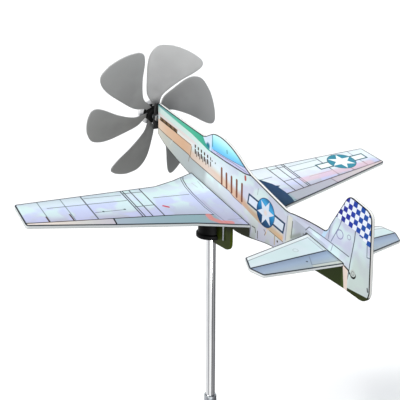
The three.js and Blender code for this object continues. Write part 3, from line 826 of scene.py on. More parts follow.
def fuselage_tail(art, y, z):
    """The dorsal fairing, fin, rudder and the blue and white checks."""
    art.lay("#b9b9cc", (z - y * 0.02).over(16.4, 1.5) * y.over(246, 4) * y.under(292, 3), 0.9)
    art.lay("#959ea8", z.under(17) * y.between(247, 290, 8) * z.over(-9, 6), 0.5)
    art.lay("#b7d2e8", (y - z * 0.3).between(275.6, 279.6, 0.6) * z.over(21, 1), 0.9)
    art.pen([
        ("#55596a", 0.8, [(262.7, 15.5), (266.2, 20.6), (290.9, 22), (316.3, 22.3)]),
        ("#7f86a0", 0.6, [(296.3, 15.6), (296.9, 21)]),
        ("#7f86a0", 0.8, [(289.4, 35.5), (290.4, 23.6)]),
        ("#7f86a0", 0.9, [(300.1, 46), (298.7, 38.1), (294.1, 23.4)]),
    ])
    art.lay("#8a88b4", art.ring((301.7, 34.2), 3.7, 0.8))
    art.lay("#9a9ab8", art.ring((311.8, 37.4), 1.9, 0.6))
    art.pen([
        ("#4b5160", 0.9, [(316.6, 46), (317.9, 38.6), (319.2, 18.4), (320.4, 8), (320.6, -5.8)]),
        ("#6f7f90", 0.8, [(330.2, 46), (334.2, 32.6), (337.2, 33.5)]),
        ("#2c2f35", 1.2, [(342.3, 9.2), (343.6, 6.8)]),
    ])
    cell = 4.45
    checks = (y.cell(299.2, cell) + z.cell(54.8, cell)).repeat(2)
    steps_down = (y - 299.2).cell(4 * cell, cell).op("MAXIMUM", 0)
    lower = (steps_down * -1.4) + 46.0
    crown = z.over(lower)
    blue = art.ramp(y + z * 0.3, 300, 352, [
        (300, "#2b2c78"), (322, "#2a33a0"), (336, "#1f4aa6"), (352, "#2c56a8"),
    ])
    art.lay("#edf1fd", crown)
    art.lay(blue, crown * checks.under(0.5, 0.02))


def fuselage_painted_shadows(art, y, z):
    """Painted shadow, in dark olive: the wing's shadow on the belly and on the tab, darkest along the
    tab's front and foot, and the tailplane's shadow on the tail, darkest just under the tailplane.
    Behind that shadow the pale belly, and the tail wheel that is drawn there."""
    # The colour of the painted shadow: dark olive, a little lighter towards the tail.
    olive = art.ramp(y + z * 0.6, 60, 330, [
        (60, "#23270d"), (100, "#1f220c"), (150, "#262b0e"), (250, "#2f3a10"), (300, "#3c4c14"),
    ])
    # The wing's painted shadow on the belly, below the wing and ahead of its trailing edge.
    belly = z.under(-24.2, 0.5) * (y + z * 0.27).under(181.6, 0.5) * y.over(106, 3)
    art.lay(olive, belly)
    # The tab is coloured as the wing's painted shadow, with more painted shade along its front and its
    # foot.
    tab = (z - y * 0.23).under(-77.6, 0.4)
    art.lay("#46540a", tab)
    art.lay("#15180a", tab * (y - z * 0.23).under(155, 8), 0.85)
    art.lay("#1c1f0a", tab * (z - y * 0.23).over(-84, 8), 0.8)
    # The tailplane's painted shadow on the tail, darkest just under the tailplane.
    tail_shadow = z.under(11.4, 0.5) * (y + z * 0.375).under(316.9, 0.4) * y.over(262, 6)
    art.lay(olive, tail_shadow)
    art.lay("#12150a", tail_shadow * z.over(8.6, 3), 0.8)
    # The pale belly behind the tailplane's painted shadow.
    behind = (y + z * 0.375).over(316.9, 0.4) * (y + z * 0.25).under(321.6, 0.4)
    art.lay("#ecdad0", z.under(12, 0.5) * behind)
    art.lay("#23201e", art.run([(314.5, 12.2), (318.7, 11.6), (321.8, 9.4)], 1.4))
    art.lay("#1b1b1c", art.disc((325.2, 10.6), 3.3))
    art.lay("#c3cbc9", art.disc((324.6, 11.8), 3.0))
    art.lay("#7f8786", art.ring((324.6, 11.8), 1.5, 0.5))


WING_LEAD = [(0, 77), (18, 88), (32, 92.5), (57, 100), (90, 103), (202, 110.6)]
WING_HINGE = [
    (0, 177.6), (18, 175.6), (25.6, 164.6), (33.6, 162.3), (64, 157.3), (94, 154.2), (125, 151),
    (160, 147.7), (204, 143.2),
]


def wing_art():
    """The plan view printed on both wings, drawn in x (to port) and y (aft), with a painted shadow on
    the starboard wing's root.
    """
    art = Artwork("wing_artwork", "#dfe8f0", 0, 1)
    x, y = art.a, art.b
    out = x.size()
    port = x.over(0, 1)
    starboard = x.under(0, 1)
    lead, hinge = art.curve(out, WING_LEAD), art.curve(out, WING_HINGE)
    share = (y - lead).op("DIVIDE", hinge - lead)
    skin = art.ramp(share, 0, 1, [
        (0, "#bcc9d2"), (0.12, "#cfdde6"), (0.3, "#dae8f2"), (0.5, "#d2dff2"), (0.75, "#c5cbdd"),
        (1, "#b1b2c3"),
    ])
    art.cover(skin)
    cloud = art.noise(0.05, 2, art.vector)
    art.lay("#c4c9f2", cloud.between(0.52, 0.8, 0.1) * share.over(0.35, 0.3), 0.55)
    art.lay("#d4efe8", cloud.between(0.25, 0.46, 0.1) * share.under(0.8, 0.3), 0.55)
    art.lay("#b4bdd0", share.over(0.72, 0.3) * out.under(70, 30) * out.over(27, 1), 0.6)
    art.lay("#e6eaee", starboard * share.under(0.7, 0.3), 0.5)
    wing_flaps(art, y, out, hinge)
    art.lay("#14161c", y.near(hinge, 1.7) * x.under(-27))
    art.lay("#1d2026", (y + x * -0.03).near(172.2, 1.2) * x.between(-126, -30) * y.over(hinge), 0.5)
    wing_lines(art, y, out, hinge)
    art.lay("#a6abc4", out.under(27, 2) * y.over(128, 40), 0.55)
    art.lay("#b9adb9", x.under(-66, 2) * y.over(hinge), 0.5)
    art.lay("#c73a55", art.stroke((67.7, 138.9), (64, 141.9), 2.6) * port)
    art.lay("#d4837c", art.run([
        (33, 164.5), (33.6, 171), (28, 178.4), (18, 181.4),
    ], 6.2, 1.2) * port, 0.85)
    art.lay("#dfb9c6", y.between(136.5, 146, 4) * x.between(-192, -94, 6) * y.under(hinge), 0.6)
    art.emblem((-160.2, 126), 16.2, 5.9, 33, "#24849b", "#1b5560", "#ecf6f4")
    # Painted shadow of the fuselage and canopy on the starboard wing's root, in navy. edge is its
    # outboard boundary along the chord.
    edge = art.curve(y, [
        (108, -46), (120, -54), (134, -61.6), (138.6, -63), (140.6, -67.4), (142.4, -63.8),
        (154, -64.6), (166, -63.6), (174, -61.2), (178, -52), (184, -30),
    ])
    fuselage_shadow = x.over(edge) * x.under(-2) * y.over(109, 1)
    shadow_navy = art.ramp(y, 108, 182, [
        (108, "#182f42"), (135, "#173f66"), (160, "#1b3d60"), (182, "#0f3648"),
    ])
    art.lay(shadow_navy, fuselage_shadow * starboard)
    # The dark line round the wing. Along the root it is painted shade in the gap at the fuselage.
    art.edges("#2f353c", "#dfe3e4")
    return art.satin()


def wing_flaps(art, y, out, hinge):
    """The flaps between the root and mid span, and the ailerons outboard."""
    behind = y.over(hinge)
    flap = art.ramp(out, 0, 126, [
        (0, "#a3a7b2"), (24, "#8f9fa8"), (45, "#89a5ab"), (90, "#93a9b4"), (126, "#a3b0bd"),
    ])
    art.lay(flap, behind * out.between(25.8, 125.4, 0.5))
    art.lay("#7f8b9b", (y + out * 0.17).over(183.4, 2) * behind * out.between(30, 125.4, 1), 0.7)
    aileron = art.ramp(out, 125, 204, [
        (125, "#bfb9c4"), (150, "#cbcac7"), (175, "#ded3ca"), (204, "#efe4dc"),
    ])
    art.lay(aileron, behind * out.over(125.4))
    ink = art.ramp(out, 20, 204, [
        (20, "#2c3340"), (60, "#14171f"), (120, "#1a1b21"), (150, "#4a3a38"), (204, "#2a1d17"),
    ])
    art.lay(ink, y.near(hinge, 1.3) * out.over(27))
    art.lay("#3a4050", y.near(hinge, 0.8) * out.under(18, 1))
    art.lay("#14161c", art.pair_run([(124.8, 151), (126.4, 162)], 1.5))


def wing_lines(art, y, out, hinge):
    """Chordwise and spanwise panel lines, the root fairing and the small marks."""
    ahead = y.under(hinge)
    skin_line = "#5b6370"
    for station, width in ((138.4, 1.0), (96.6, 0.8), (94.2, 0.7), (87, 0.7), (75.6, 0.8)):
        art.lay(skin_line if station > 100 else "#2c333c", out.near(station, width + 0.4) * ahead)
    art.lay("#7b8d93", out.near(181, 0.9).or_(out.near(158.8, 0.9)) * ahead)
    art.lay("#5a686e", y.near(122.3, 0.9) * out.between(98, 176).or_(out.between(30, 70)))
    art.lay("#6b7d86", y.near(111.4, 0.9) * out.between(99, 137))
    art.lay("#424c56", y.near(135.2, 1.0).or_(y.near(109, 1.0)) * out.between(75.6, 97))
    art.lay("#434c58", y.near(138, 0.7) * out.between(107, 137))
    for tick in (181.8, 160.3):
        art.lay("#4b3434", out.near(tick, 1.4) * y.between(135.8, 147) * ahead)
    for spot in (128.6, 107.4):
        art.lay("#2f4750", art.disc((spot, 137.6), 1.1))
    inner = art.curve(y, [(84, 15.5), (92, 20), (106, 23.6), (122, 25.4), (150, 26), (186, 22.4)])
    near_root = y.over(87)
    art.lay("#2e343c", out.near(inner, 1.0) * near_root)
    art.lay("#464e58", (out - inner).near(2.4, 0.8) * near_root * ahead)
    art.lay("#b9b7cb", (out - inner).near(-2.6, 3) * y.over(136, 10), 0.8)
    pair = art.run([(14.7, 100.6), (13.4, 110.5)], 0.7).or_(art.run([(6.1, 98.2), (8, 113.4)], 0.7))
    art.lay("#b3bcc6", pair)


def tail_art():
    """The plan view printed on the tailplane, drawn in x (to port) and y (aft)."""
    art = Artwork("tailplane_artwork", "#cbd8dc", 0, 1)
    x, y = art.a, art.b
    out = x.size()
    lead = art.curve(out, [(0, 264.6), (72, 276.7), (78, 290)])
    hinge = out * -0.012 + 291.7
    art.lay("#bfd5d4", art.noise(0.05, 2, art.vector).over(0.5, 0.15), 0.6)
    art.lay("#dbe2e3", (y - lead).under(4.4, 0.5))
    art.lay("#7d868e", (y - lead).near(4.6, 0.7) * out.over(4))
    art.lay("#9aa3ac", out.near(4.2, 0.8) * y.between(269, 291))
    elevator = art.ramp(y, 291, 313, [
        (291, "#7f8fa6"), (298, "#93a4ba"), (305, "#9eabb3"), (313, "#a9b0a9"),
    ])
    art.lay(elevator, y.over(hinge))
    art.lay("#2a2f3a", y.near(hinge, 1.4) * out.over(2))
    trim = y - 307.6 + out * 0.115
    art.lay("#6f767c", trim.near(0, 0.7) * out.under(27))
    art.lay("#b9bfb8", trim.over(0.5) * out.under(27))
    art.lay("#7a8696", art.pair_run([(21, 293.4), (26.6, 304.4)], 0.8))
    for side in (-1, 1):
        art.lay("#3f4650", art.disc((side * 27.6, 299.1), 0.9))
        art.lay("#9fb0ae", art.ring((side * 26.4, 282.4), 2.2, 0.6), 0.8)
    art.edges("#3a4047", "#e4e8e9")
    return art.satin()


# ---- plain finishes ----
def plastic(name, chip, light, roughness=0.46, grain=1400, sheen=0.5):
    """Moulded plastic: faint swirls of a second tone and a fine spark-eroded grain."""
    made = Finish(name, chip)
    made.surface.inputs["Specular IOR Level"].default_value = sheen
    made.lay(light, made.noise(60, 3).between(0.5, 0.8, 0.2), 0.5)
    gloss = made.noise(120, 2).op("MULTIPLY_ADD", 0.18, roughness - 0.09)
    return made.finish(made.noise(grain, 2), 0.05, gloss)


def coated(name, chip, light, roughness=0.5):
    """Powder coat on steel: a fine orange-peel bump, with its high spots coloured slightly lighter as
    a painted highlight.
    """
    made = Finish(name, chip, coat=0.15)
    peel = made.noise(800, 3)
    # Painted highlight: lighter colour on the bump's high spots.
    made.lay(light, peel.over(0.58, 0.2), 0.5)
    return made.finish(peel, 0.08, made.noise(150, 2).op("MULTIPLY_ADD", 0.2, roughness - 0.1))


def metal(name, chip, dark, roughness, stretch=(1, 1, 1), scale=200, depth=0.01):
    """Bare or plated metal: drawn marks along its length, and patches where the plating is duller."""
    made = Finish(name, chip, metallic=1.0)
    marks = made.noise(scale, 4, stretch=stretch)
    made.lay(dark, marks.between(0.52, 0.8, 0.15), 0.5)
    gloss = made.noise(40, 3).op("MULTIPLY_ADD", 0.14, roughness - 0.07) + marks * 0.05
    return made.finish(marks, depth, gloss)


def blade_finish():
    """Satin grey that is lighter towards the tips and darkened near the root as painted shade from the
    hub, with a soft cloudiness and a fine grain.
    """
    made = Finish("satin_blade", "#929292", coat=0.1)
    x, _, z = made.in_aeroplane()
    reach = ((x * x) + (z - THRUST_LINE) * (z - THRUST_LINE)).op("SQRT")
    # Darkest within about 16 mm of the axis: painted shade from the hub on the blade roots.
    tone = made.ramp(reach, 0, 82, [
        (0, "#5a5a5a"), (16, "#767676"), (34, "#8d8d8d"), (60, "#9a9a9a"), (82, "#acacac"),
    ])
    made.cover(tone)
    made.lay("#a8a8a8", made.noise(26, 3).between(0.5, 0.8, 0.2), 0.35)
    return made.finish(made.noise(1600, 2), 0.03, made.noise(110, 3).op("MULTIPLY_ADD", 0.2, 0.36))


FINISHES = {
    "fuselage_print": fuselage_art(),
    "wing_print": wing_art(),
    "tail_print": tail_art(),
    "blade_grey": blade_finish(),
    "spinner_white": plastic("gloss_spinner", "#e6e6e8", "#f4f4f6", 0.24, 600),
    "black_plastic": plastic("moulded_black", "#030304", "#0a0a0b", 0.5, sheen=0.1),
    "black_steel": coated("black_powder_coat", "#0d0d0f", "#1a1a1c"),
    "black_screws": metal("blackened_steel", "#1c1c1f", "#101012", 0.34),
    "olive_paint": coated("olive_coat", "#39420f", "#4a5416"),
    "chrome_pole": metal("polished_chrome", "#f3f4f5", "#dfe1e4", 0.1, (14, 14, 0.6), 60, 0.006),
    "zinc": metal("zinc_plate", "#b9bec2", "#9aa0a6", 0.3),
    "steel": metal("bare_steel", "#93979c", "#6f7479", 0.36, (6, 6, 0.8), 120, 0.02),
    "brass": metal("turned_brass", "#c09a56", "#9c7a3c", 0.3, (1, 1, 8), 150),
    "nylon": plastic("moulded_nylon", "#26272a", "#303236", 0.55),
}


# ---- the mast ----
POLE = 5.0  # the tubes' outer radius
BORE = 4.2  # the tubes' inner radius
MEET = 18  # height of the joint between the two tubes
SEAT = 20  # height of the swivel joint above the housing's foot
HOUSING_FOOT = HINGE["body_swivel"]["pos_m"][2] / MM - SEAT
CLAMPS = (("front", -7.5), ("rear", 7.5))  # the clamp bolts, counted aft from the pole's axis
CLAMP_RISE = 33  # their height above the housing's foot
SIDES = (("port", 1), ("starboard", -1))


def ring_section(inner, outer, low, high, ease=0.3):
    """The closed section of a sleeve, its four corners eased, as (radius, height)."""
    loop = corners([
        (inner, low, ease), (outer, low, ease), (outer, high, ease), (inner, high, ease),
    ], 3)
    return np.concatenate([loop, loop[:1]])


def build_mast():
    """The spike, two drawn tubes, the coupler with its set screws, and the pivot pin."""
    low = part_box("pole_lower")[0].z / MM
    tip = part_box("ground_spike")[0].z / MM
    play = 0.3
    neck = BORE - play
    point = corners([
        (0, tip), (0.7, tip + 0.6, 0.4), (POLE, tip + 26, 3), (POLE, low - play, 0.4),
        (neck, low - play), (neck, low + 22, 0.5), (0, low + 22),
    ], 5, closed=False)
    piece("stake_point", turned(point), "mast", ["ground_spike"], "steel", upright)
    for name, node, foot, top in (
        ("lower_tube", "pole_lower", low, MEET - play),
        ("upper_tube", "pole_upper", MEET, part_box("pole_upper")[1].z / MM),
    ):
        tube = turned(ring_section(BORE, POLE, foot, top, 0.25), 96)
        piece(name, tube, "mast", [node], "chrome_pole", upright)
    foot, top = (corner.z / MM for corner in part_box("pole_coupler"))
    inner, outer, groove = POLE + 0.3, POLE + 1.8, POLE + 1.5
    section = corners([
        (inner, foot, 0.2), (outer, foot, 0.4), (outer, foot + 3, 0.2), (groove, foot + 3.4, 0.2),
        (groove, foot + 4.2, 0.2), (outer, foot + 4.6, 0.2), (outer, top - 4.6, 0.2),
        (groove, top - 4.2, 0.2), (groove, top - 3.4, 0.2), (outer, top - 3, 0.2), (outer, top, 0.4),
        (inner, top, 0.2),
    ], 3)
    sleeve = turned(np.concatenate([section, section[:1]]))
    piece("tube_coupler", sleeve, "mast", ["pole_coupler"], "zinc", upright)
    for place in ("lower", "upper"):
        low_corner, high_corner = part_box(f"coupler_screw_{place}")
        height = (low_corner.z + high_corner.z) / 2 / MM
        screw = screw_shell(head=2.5, height=1.8, shank=1.3, length=1.6)
        screw = screw.placed(pointing((0, 1, 0), (0, -POLE - 2.1, height)))
        piece(f"set_screw_{place}", screw, "mast", [f"coupler_screw_{place}"], "steel", upright)
    foot, top = (corner.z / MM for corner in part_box("pivot_pin"))
    pin = corners([
        (0, foot), (2.5, foot, 0.3), (2.5, top - 1.6, 0.8), (1.4, top - 0.4, 0.5), (0, top),
    ], 5, closed=False)
    piece("pivot", turned(pin, 48), "mast", ["pivot_pin"], "steel", upright)


def screw_shell(head, height, shank, length):
    """A button-head screw about Z, head down: its underside is at z = 0 and the shank goes up.
    The rows inside the socket's radius are carried round a hexagon."""
    socket, floor = head * 0.5, height * 0.45
    profile = corners([
        (0, -floor), (socket, -floor), (socket, -height, 0.12), (head * 0.78, -height, head * 0.3),
        (head, -height * 0.3, 0.2), (head, 0), (shank, 0), (shank, length - 0.4),
        (shank - 0.35, length), (0, length),
    ], 4, closed=False)

    def shape(r, z, a):
        return np.where(r <= socket + 0.01, r * hexagon(a) * 0.9, r + 0 * a)

    return turned(profile, 48, shape)


def nut_shell(bore, across, low, high):
    """A hexagon nut about Z: its side is the smaller of the hexagon and, near both ends, a cone."""
    profile = ring_section(bore, across, low, high, 0.2)

    def shape(r, z, a):
        from_end = np.minimum(z - low, high - z)
        cone = across * 0.97 + from_end * 1.6
        return np.where(r > (bore + across) / 2, np.minimum(r * hexagon(a) * 0.88, cone), r + 0 * a)

    return turned(profile, 72, shape)


# ---- the swivel housing ----
def build_swivel():
    """A moulded barrel with a flange, a slot for the tab, clamp bolts and a locking strip."""
    foot, top = HOUSING_FOOT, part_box("swivel_housing")[1].z / MM
    clamp = foot + CLAMP_RISE
    barrel, flange, mouth, bore = 13.4, 15.5, 5.7, 5.1
    profile = corners([
        (mouth, foot, 0.4), (flange, foot, 1.0), (flange, foot + 4.2, 0.8), (barrel, foot + 4.9, 0.5),
        (barrel, top, 1.6), (0, top),
    ], 6, closed=False)
    inside = np.array([
        (0, foot + 24), (bore, foot + 24), (bore, foot + 11.6), (mouth, foot + 11.6),
        (mouth, foot + 0.4),
    ])
    made = piece("swivel_barrel", turned(np.concatenate([inside, profile]), 96), "aeroplane",
                 ["swivel_housing"], "black_plastic", upright)
    slot, floor, rear, clear = 3.7, foot + 25.5, 6.2, 30
    tools = [prism([
        (-clear, floor), (rear, floor), (rear, foot - 2), (clear, foot - 2), (clear, top + 3),
        (-clear, top + 3),
    ], -slot / 2, slot / 2)]
    hole, recess, seat, reach = 1.8, 4.2, 9.6, 18
    for _, y in CLAMPS:
        stepped = turned([
            (0, -reach), (recess, -reach), (recess, -seat), (hole, -seat), (hole, seat),
            (recess, seat), (recess, reach), (0, reach),
        ], 40)
        tools.append(stepped.placed(pointing((1, 0, 0), (0, y, clamp))))
    cut_away(made, [tool.placed(upright) for tool in tools])
    for place, y in CLAMPS:
        bolt = screw_shell(head=3, height=2, shank=1.5, length=22.6)
        nut = nut_shell(bore=1.8, across=3.2, low=0, high=2.4)
        for kind, shell, x in (("bolt", bolt, 9.9), ("nut", nut, -9.9)):
            piece(f"clamp_{kind}_{place}_m3", shell.placed(pointing((-1, 0, 0), (x, y, clamp))),
                  "aeroplane", [f"clamp_{kind}_{place}"], "black_screws", upright)
    low, high = (np.array(corner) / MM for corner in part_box("lock_strip"))
    strip = board(box_outline(low[1], high[1], low[2], high[2], 0.5), low[0], high[0],
                  line=0.5, round_over=0.25)
    piece("locking_strip", strip.placed(beside), "aeroplane", ["lock_strip"], "zinc", upright)


# ---- the boards ----
BOARD = 3.0  # thickness of the fuselage and wing boards
DIHEDRAL = math.radians(4.4)
WING_TOP = -21.6  # height of the wings' upper face at the middle, from the datum
# The tab's three upright edges, counted aft from the pole's axis.
TAB_NOSE, TAB_FRONT, TAB_REAR = -17.0, 6.5, 38.4
SLOT_FLOOR = 25.8  # where the tab rests in the housing's slot, above the housing's foot


def fuselage_outline():
    """The fighter's side view and the tab below it, anticlockwise from the belly behind the tab."""
    rear = [
        bend((160, -42.2), (186, -39.8), (200, -30.4), (222.8, -24.8)),
        bend((222.8, -24.8), (268, -13.4), (319.5, -6.4)),
        bend((319.5, -6.4), (336.9, -4.9), steps=3),
        bend((336.9, -4.9), (346.5, -3.6), (345.6, 6.4)),
        bend((345.6, 6.4), (330.2, 61.2), steps=10),
        bend((330.2, 61.2), (328.4, 67.4), (321.5, 68.2), steps=8),
        bend((321.5, 68.2), (306, 69.3), steps=4),
        bend((306, 69.3), (301.4, 69.2), (299.3, 64.3), steps=6),
        bend((299.3, 64.3), (288.6, 35), steps=6),
        bend((288.6, 35), (287.6, 28.8), (284, 28), steps=6),
        bend((284, 28), (262, 25.6), (243, 20.6)),
        bend((243, 20.6), (237, 18.6), (232, 18.9), steps=5),
    ]
    fore = [
        bend((232, 18.9), (177, 24.8), steps=10),
        bend((177, 24.8), (168, 27.2), (158, 31.2), steps=8),
        bend((158, 31.2), (142, 37.6), (122, 40.6), (108.3, 35.8), steps=24),
        bend((108.3, 35.8), (102, 33.2), (97, 27.2), (90, 25.9)),
        bend((90, 25.9), (45, 23.4), (-5.4, 22.4), steps=16),
        np.array([[-6.2, 21.6], [0, -10.8]]),
        bend((0, -10.8), (9, -15.6), (24.6, -18.7), steps=8),
        bend((24.6, -18.7), (50, -22.8), (92, -27)),
    ]
    throat = bend((92, -27), (104, -28.6), (112, -42.2), steps=24)
    along = (np.column_stack([0 * throat[:, 0], throat]) @ TILT.T + DATUM)[:, 1]
    throat = throat[along < TAB_NOSE - 0.5]
    foot, floor = HOUSING_FOOT - 5.2, HOUSING_FOOT + SLOT_FLOOR
    tab = corners([
        (TAB_NOSE, HOUSING_FOOT + 42), (TAB_NOSE, floor, 2), (TAB_FRONT, floor), (TAB_FRONT, foot),
        (TAB_REAR, foot, 10), (TAB_REAR, HOUSING_FOOT + 21.2),
    ], 8, closed=False)
    tab[0, 1] = meeting_height(throat[-1])
    flat = into_aeroplane(np.column_stack([0 * tab[:, 0], tab]))[:, 1:]
    return np.concatenate([flat, *rear, *fore, throat])


def meeting_height(point):
    """Where the tab's nose edge leaves the belly: the height above the ground of a point on the
    fuselage's side, less a little."""
    return (aeroplane([0, *point]) / MM)[2] - 0.8


def build_boards():
    """The fuselage with its slots, two wings at their dihedral, and the tailplane."""
    holes = [
        box_outline(119.6, 145.4, -27.3, -24.5, hole=True),
        box_outline(264.1, 312.9, 10.05, 13.35, hole=True),
    ]
    for _, y in CLAMPS:
        spot = into_aeroplane([0, y, HOUSING_FOOT + CLAMP_RISE])[1:]
        holes.append(circle(spot, 1.8))
    side = board(fuselage_outline(), -BOARD / 2, BOARD / 2, holes)
    piece("fuselage_panel", side.placed(beside), "aeroplane", ["fuselage_board"], "fuselage_print")
    half = [
        (1.9, 78), (32.5, 91.9, 20), (57.4, 100.3, 20), (202, 110.4, 3), (203.6, 147, 3),
        (126, 162.2), (52, 175.6, 30), (1.9, 190),
    ]
    for name, hand in SIDES:
        rows = corners([(hand * x, *rest) for x, *rest in half], 10)
        flat = board(rows if hand > 0 else rows[::-1], -BOARD, 0, line=1.5)
        piece(f"wing_panel_{name}", flat.placed(raised(hand)), "aeroplane", [f"wing_{name}"],
              "wing_print")
    half = [(0, 264.6), (71.6, 276.7, 2), (76.9, 290.6, 4), (71.4, 302.3, 3), (46, 306), (0, 312.4)]
    whole = half + [(-x, *rest) for x, *rest in half[-2:0:-1]]
    tail = board(corners(whole, 6), 10.4, 13, line=1.2)
    piece("tailplane_panel", tail, "aeroplane", ["tailplane_board"], "wing_print", finish="tail_print")


def raised(hand):
    """A wing drawn flat, lifted towards its tip by the dihedral D:
    (x, y, z) goes to (x cos D - z h sin D, y, WING_TOP + x h sin D + z cos D), where h is the hand."""
    def move(points):
        x, y, z = np.moveaxis(points, -1, 0)
        lift, level = math.sin(DIHEDRAL) * hand, math.cos(DIHEDRAL)
        return np.stack([x * level - z * lift, y, WING_TOP + x * lift + z * level], -1)
    return move


def build_fittings():
    """The bent saddle under the wings, its screws, the tail angles and the nose bracket."""
    build_saddle()
    near, under, thick = BOARD / 2 + 0.3, 10.1, 1
    for name, hand in SIDES:
        for place, x in (("inner", 16), ("outer", 36)):
            spot = np.array([hand * x, 132.5, -BOARD - 2.6])
            screw = screw_shell(head=3, height=1.6, shank=1.4, length=4.4)
            screw = screw.placed(lambda points, spot=spot: points + spot, raised(hand))
            piece(f"saddle_screw_{name}_{place}", screw, "aeroplane",
                  [f"wing_screw_{name}_{place}"], "black_screws")
        section = corners([
            (hand * near, under), (hand * near, under - 7, 0.3),
            (hand * (near + thick), under - 7, 0.3), (hand * (near + thick), under - thick, 0.4),
            (hand * (near + 8), under - thick, 0.3), (hand * (near + 8), under, 0.3),
        ], 3)
        bar = board(section[::hand], 282, 302, line=0.35, round_over=0.12)
        piece(f"tail_bracket_{name}", bar.placed(lambda points: points[..., [0, 2, 1]]),
              "aeroplane", [f"tail_angle_{name}"], "olive_paint")
    piece("propeller_bracket", nose_bracket_shell(), "aeroplane", ["nose_bracket"], "black_steel")
    for place, z in (("upper", 14), ("lower", 0)):
        screw = screw_shell(head=2.6, height=1.5, shank=1.2, length=4.2)
        screw = screw.placed(pointing((1, 0, 0), (-BOARD / 2 - 2.6, 13, z)))
        piece(f"bracket_screw_{place}", screw, "aeroplane", [f"nose_screw_{place}"], "black_screws")


def build_saddle():
    """The strip under the wings: level across its width, and along its length bent at the middle,
    where its height above the middle is (sqrt(x^2 + bend^2) - bend) tan D."""
    length, width, front, thick, bend_reach = 92, 25, 120, 2, 2
    middle_height = WING_TOP - (BOARD + 0.3) / math.cos(DIHEDRAL) - thick / 2

    def strip(s, t):
        x, y = (s - 0.5) * length, front + width * t
        rise = (np.sqrt(x * x + bend_reach**2) - bend_reach) * math.tan(DIHEDRAL)
        return np.stack([x, y, middle_height + rise], -1)

    saddle = slab(strip, np.array([0, 0, 1.0]), (length, width), thick, 0.4)
    piece("saddle_strip", saddle, "aeroplane", ["wing_saddle"], "black_steel")


def nose_bracket_shell():
    """A folded steel bracket: an arm beside the board's nose, and a plate across it with the
    hole for the axle."""
    reach, thick = 9.3, 2.5
    side = -BOARD / 2 - 0.3
    arm = board(box_outline(thick - reach, 29 - reach, -4, 18, 2.5), side - 2, side, line=1)
    hole = circle((0, THRUST_LINE), 2.8)
    plate = board(box_outline(-4.3, 4.3, -9, 21, 1.2), reach - thick, reach, [hole], line=0.8)
    across = plate.placed(lambda points: points[..., [0, 2, 1]] * np.array([1, -1, 1]))
    return together([arm.placed(beside), across])


# ---- the propeller ----
# Stations along the propeller's axis, counted forwards from the aeroplane's datum.
HUB_REAR, HUB_FRONT = 11.2, 27.6
SPINNER_REAR, SPINNER_TIP, SPINNER_RADIUS = 23.2, 37.95, 14.5
BLADES = 6
BLADE_PITCH = math.radians(24)
BLADE_ANGLES = math.radians(50.7) + np.arange(BLADES) * 2 * math.pi / BLADES
# A blade's two edges, seen along the axis: (distance out, distance across).
UPPER_EDGE = [
    (7, 2.6), (12, 2.4), (24, 1.6), (43.7, 11.6), (60.6, 23.8), (70, 28.4), (75.6, 26), (78.4, 17.2),
]
LOWER_EDGE = [
    (7, -3.4), (10.5, -4.6), (17.4, -13.2), (32.6, -19.3), (50.4, -24.6), (63, -24.6), (72.6, -19),
    (78, -6),
]


def through(points, s):
    """A Catmull-Rom curve through points: on each stretch, the cubic whose slope at either end is
    half the gap between the points on both sides of that end."""
    rows = np.array(points, float)
    place = s * (len(rows) - 1)
    i = np.minimum(place.astype(int), len(rows) - 2)
    w = (place - i)[..., None]
    before, start, end, after = (rows[np.clip(i + k, 0, len(rows) - 1)] for k in (-1, 0, 1, 2))
    first, last = (end - before) / 2, (after - start) / 2
    cubed = (2 * start - 2 * end + first + last) * w**3
    squared = (3 * end - 3 * start - 2 * first - last) * w**2
    return cubed + squared + first * w + start


def blade_shell(angle):
    """A blade between its two edge curves. A point u out and v across has the depth
    v tan(pitch) - curl (u - start)^2 - lip, and u, v are turned by the blade's angle."""
    tip_bulge, tip_trim, lip_depth, lip_fade = 1.1, 0.06, 0.4, 22
    curl, curl_start = 0.88e-3, 15

    def middle(s, t):
        upper, lower = through(UPPER_EDGE, s), through(LOWER_EDGE, s)
        flat = lower + (upper - lower) * t[..., None]
        along = flat[..., 0] + tip_bulge * s * s * 4 * t * (1 - t) - tip_trim * s * s
        across = flat[..., 1]
        lip = lip_depth * np.exp(-t * lip_fade) * s
        depth = across * math.tan(BLADE_PITCH) - curl * (along - curl_start) ** 2 - lip
        return turned_out(along, across, depth, angle)

    return slab(middle, np.array([0, 1.0, 0]), (72, 34), 1.6, 0.8)


def turned_out(out, across, depth, angle):
    """A point of a blade in the aeroplane's frame: (u cos a - v sin a, depth, u sin a + v cos a),
    from the point where the blades cross the thrust line."""
    x = out * math.cos(angle) - across * math.sin(angle)
    z = out * math.sin(angle) + across * math.cos(angle)
    return np.stack([x, depth + BLADE_STATION, z + THRUST_LINE], -1)


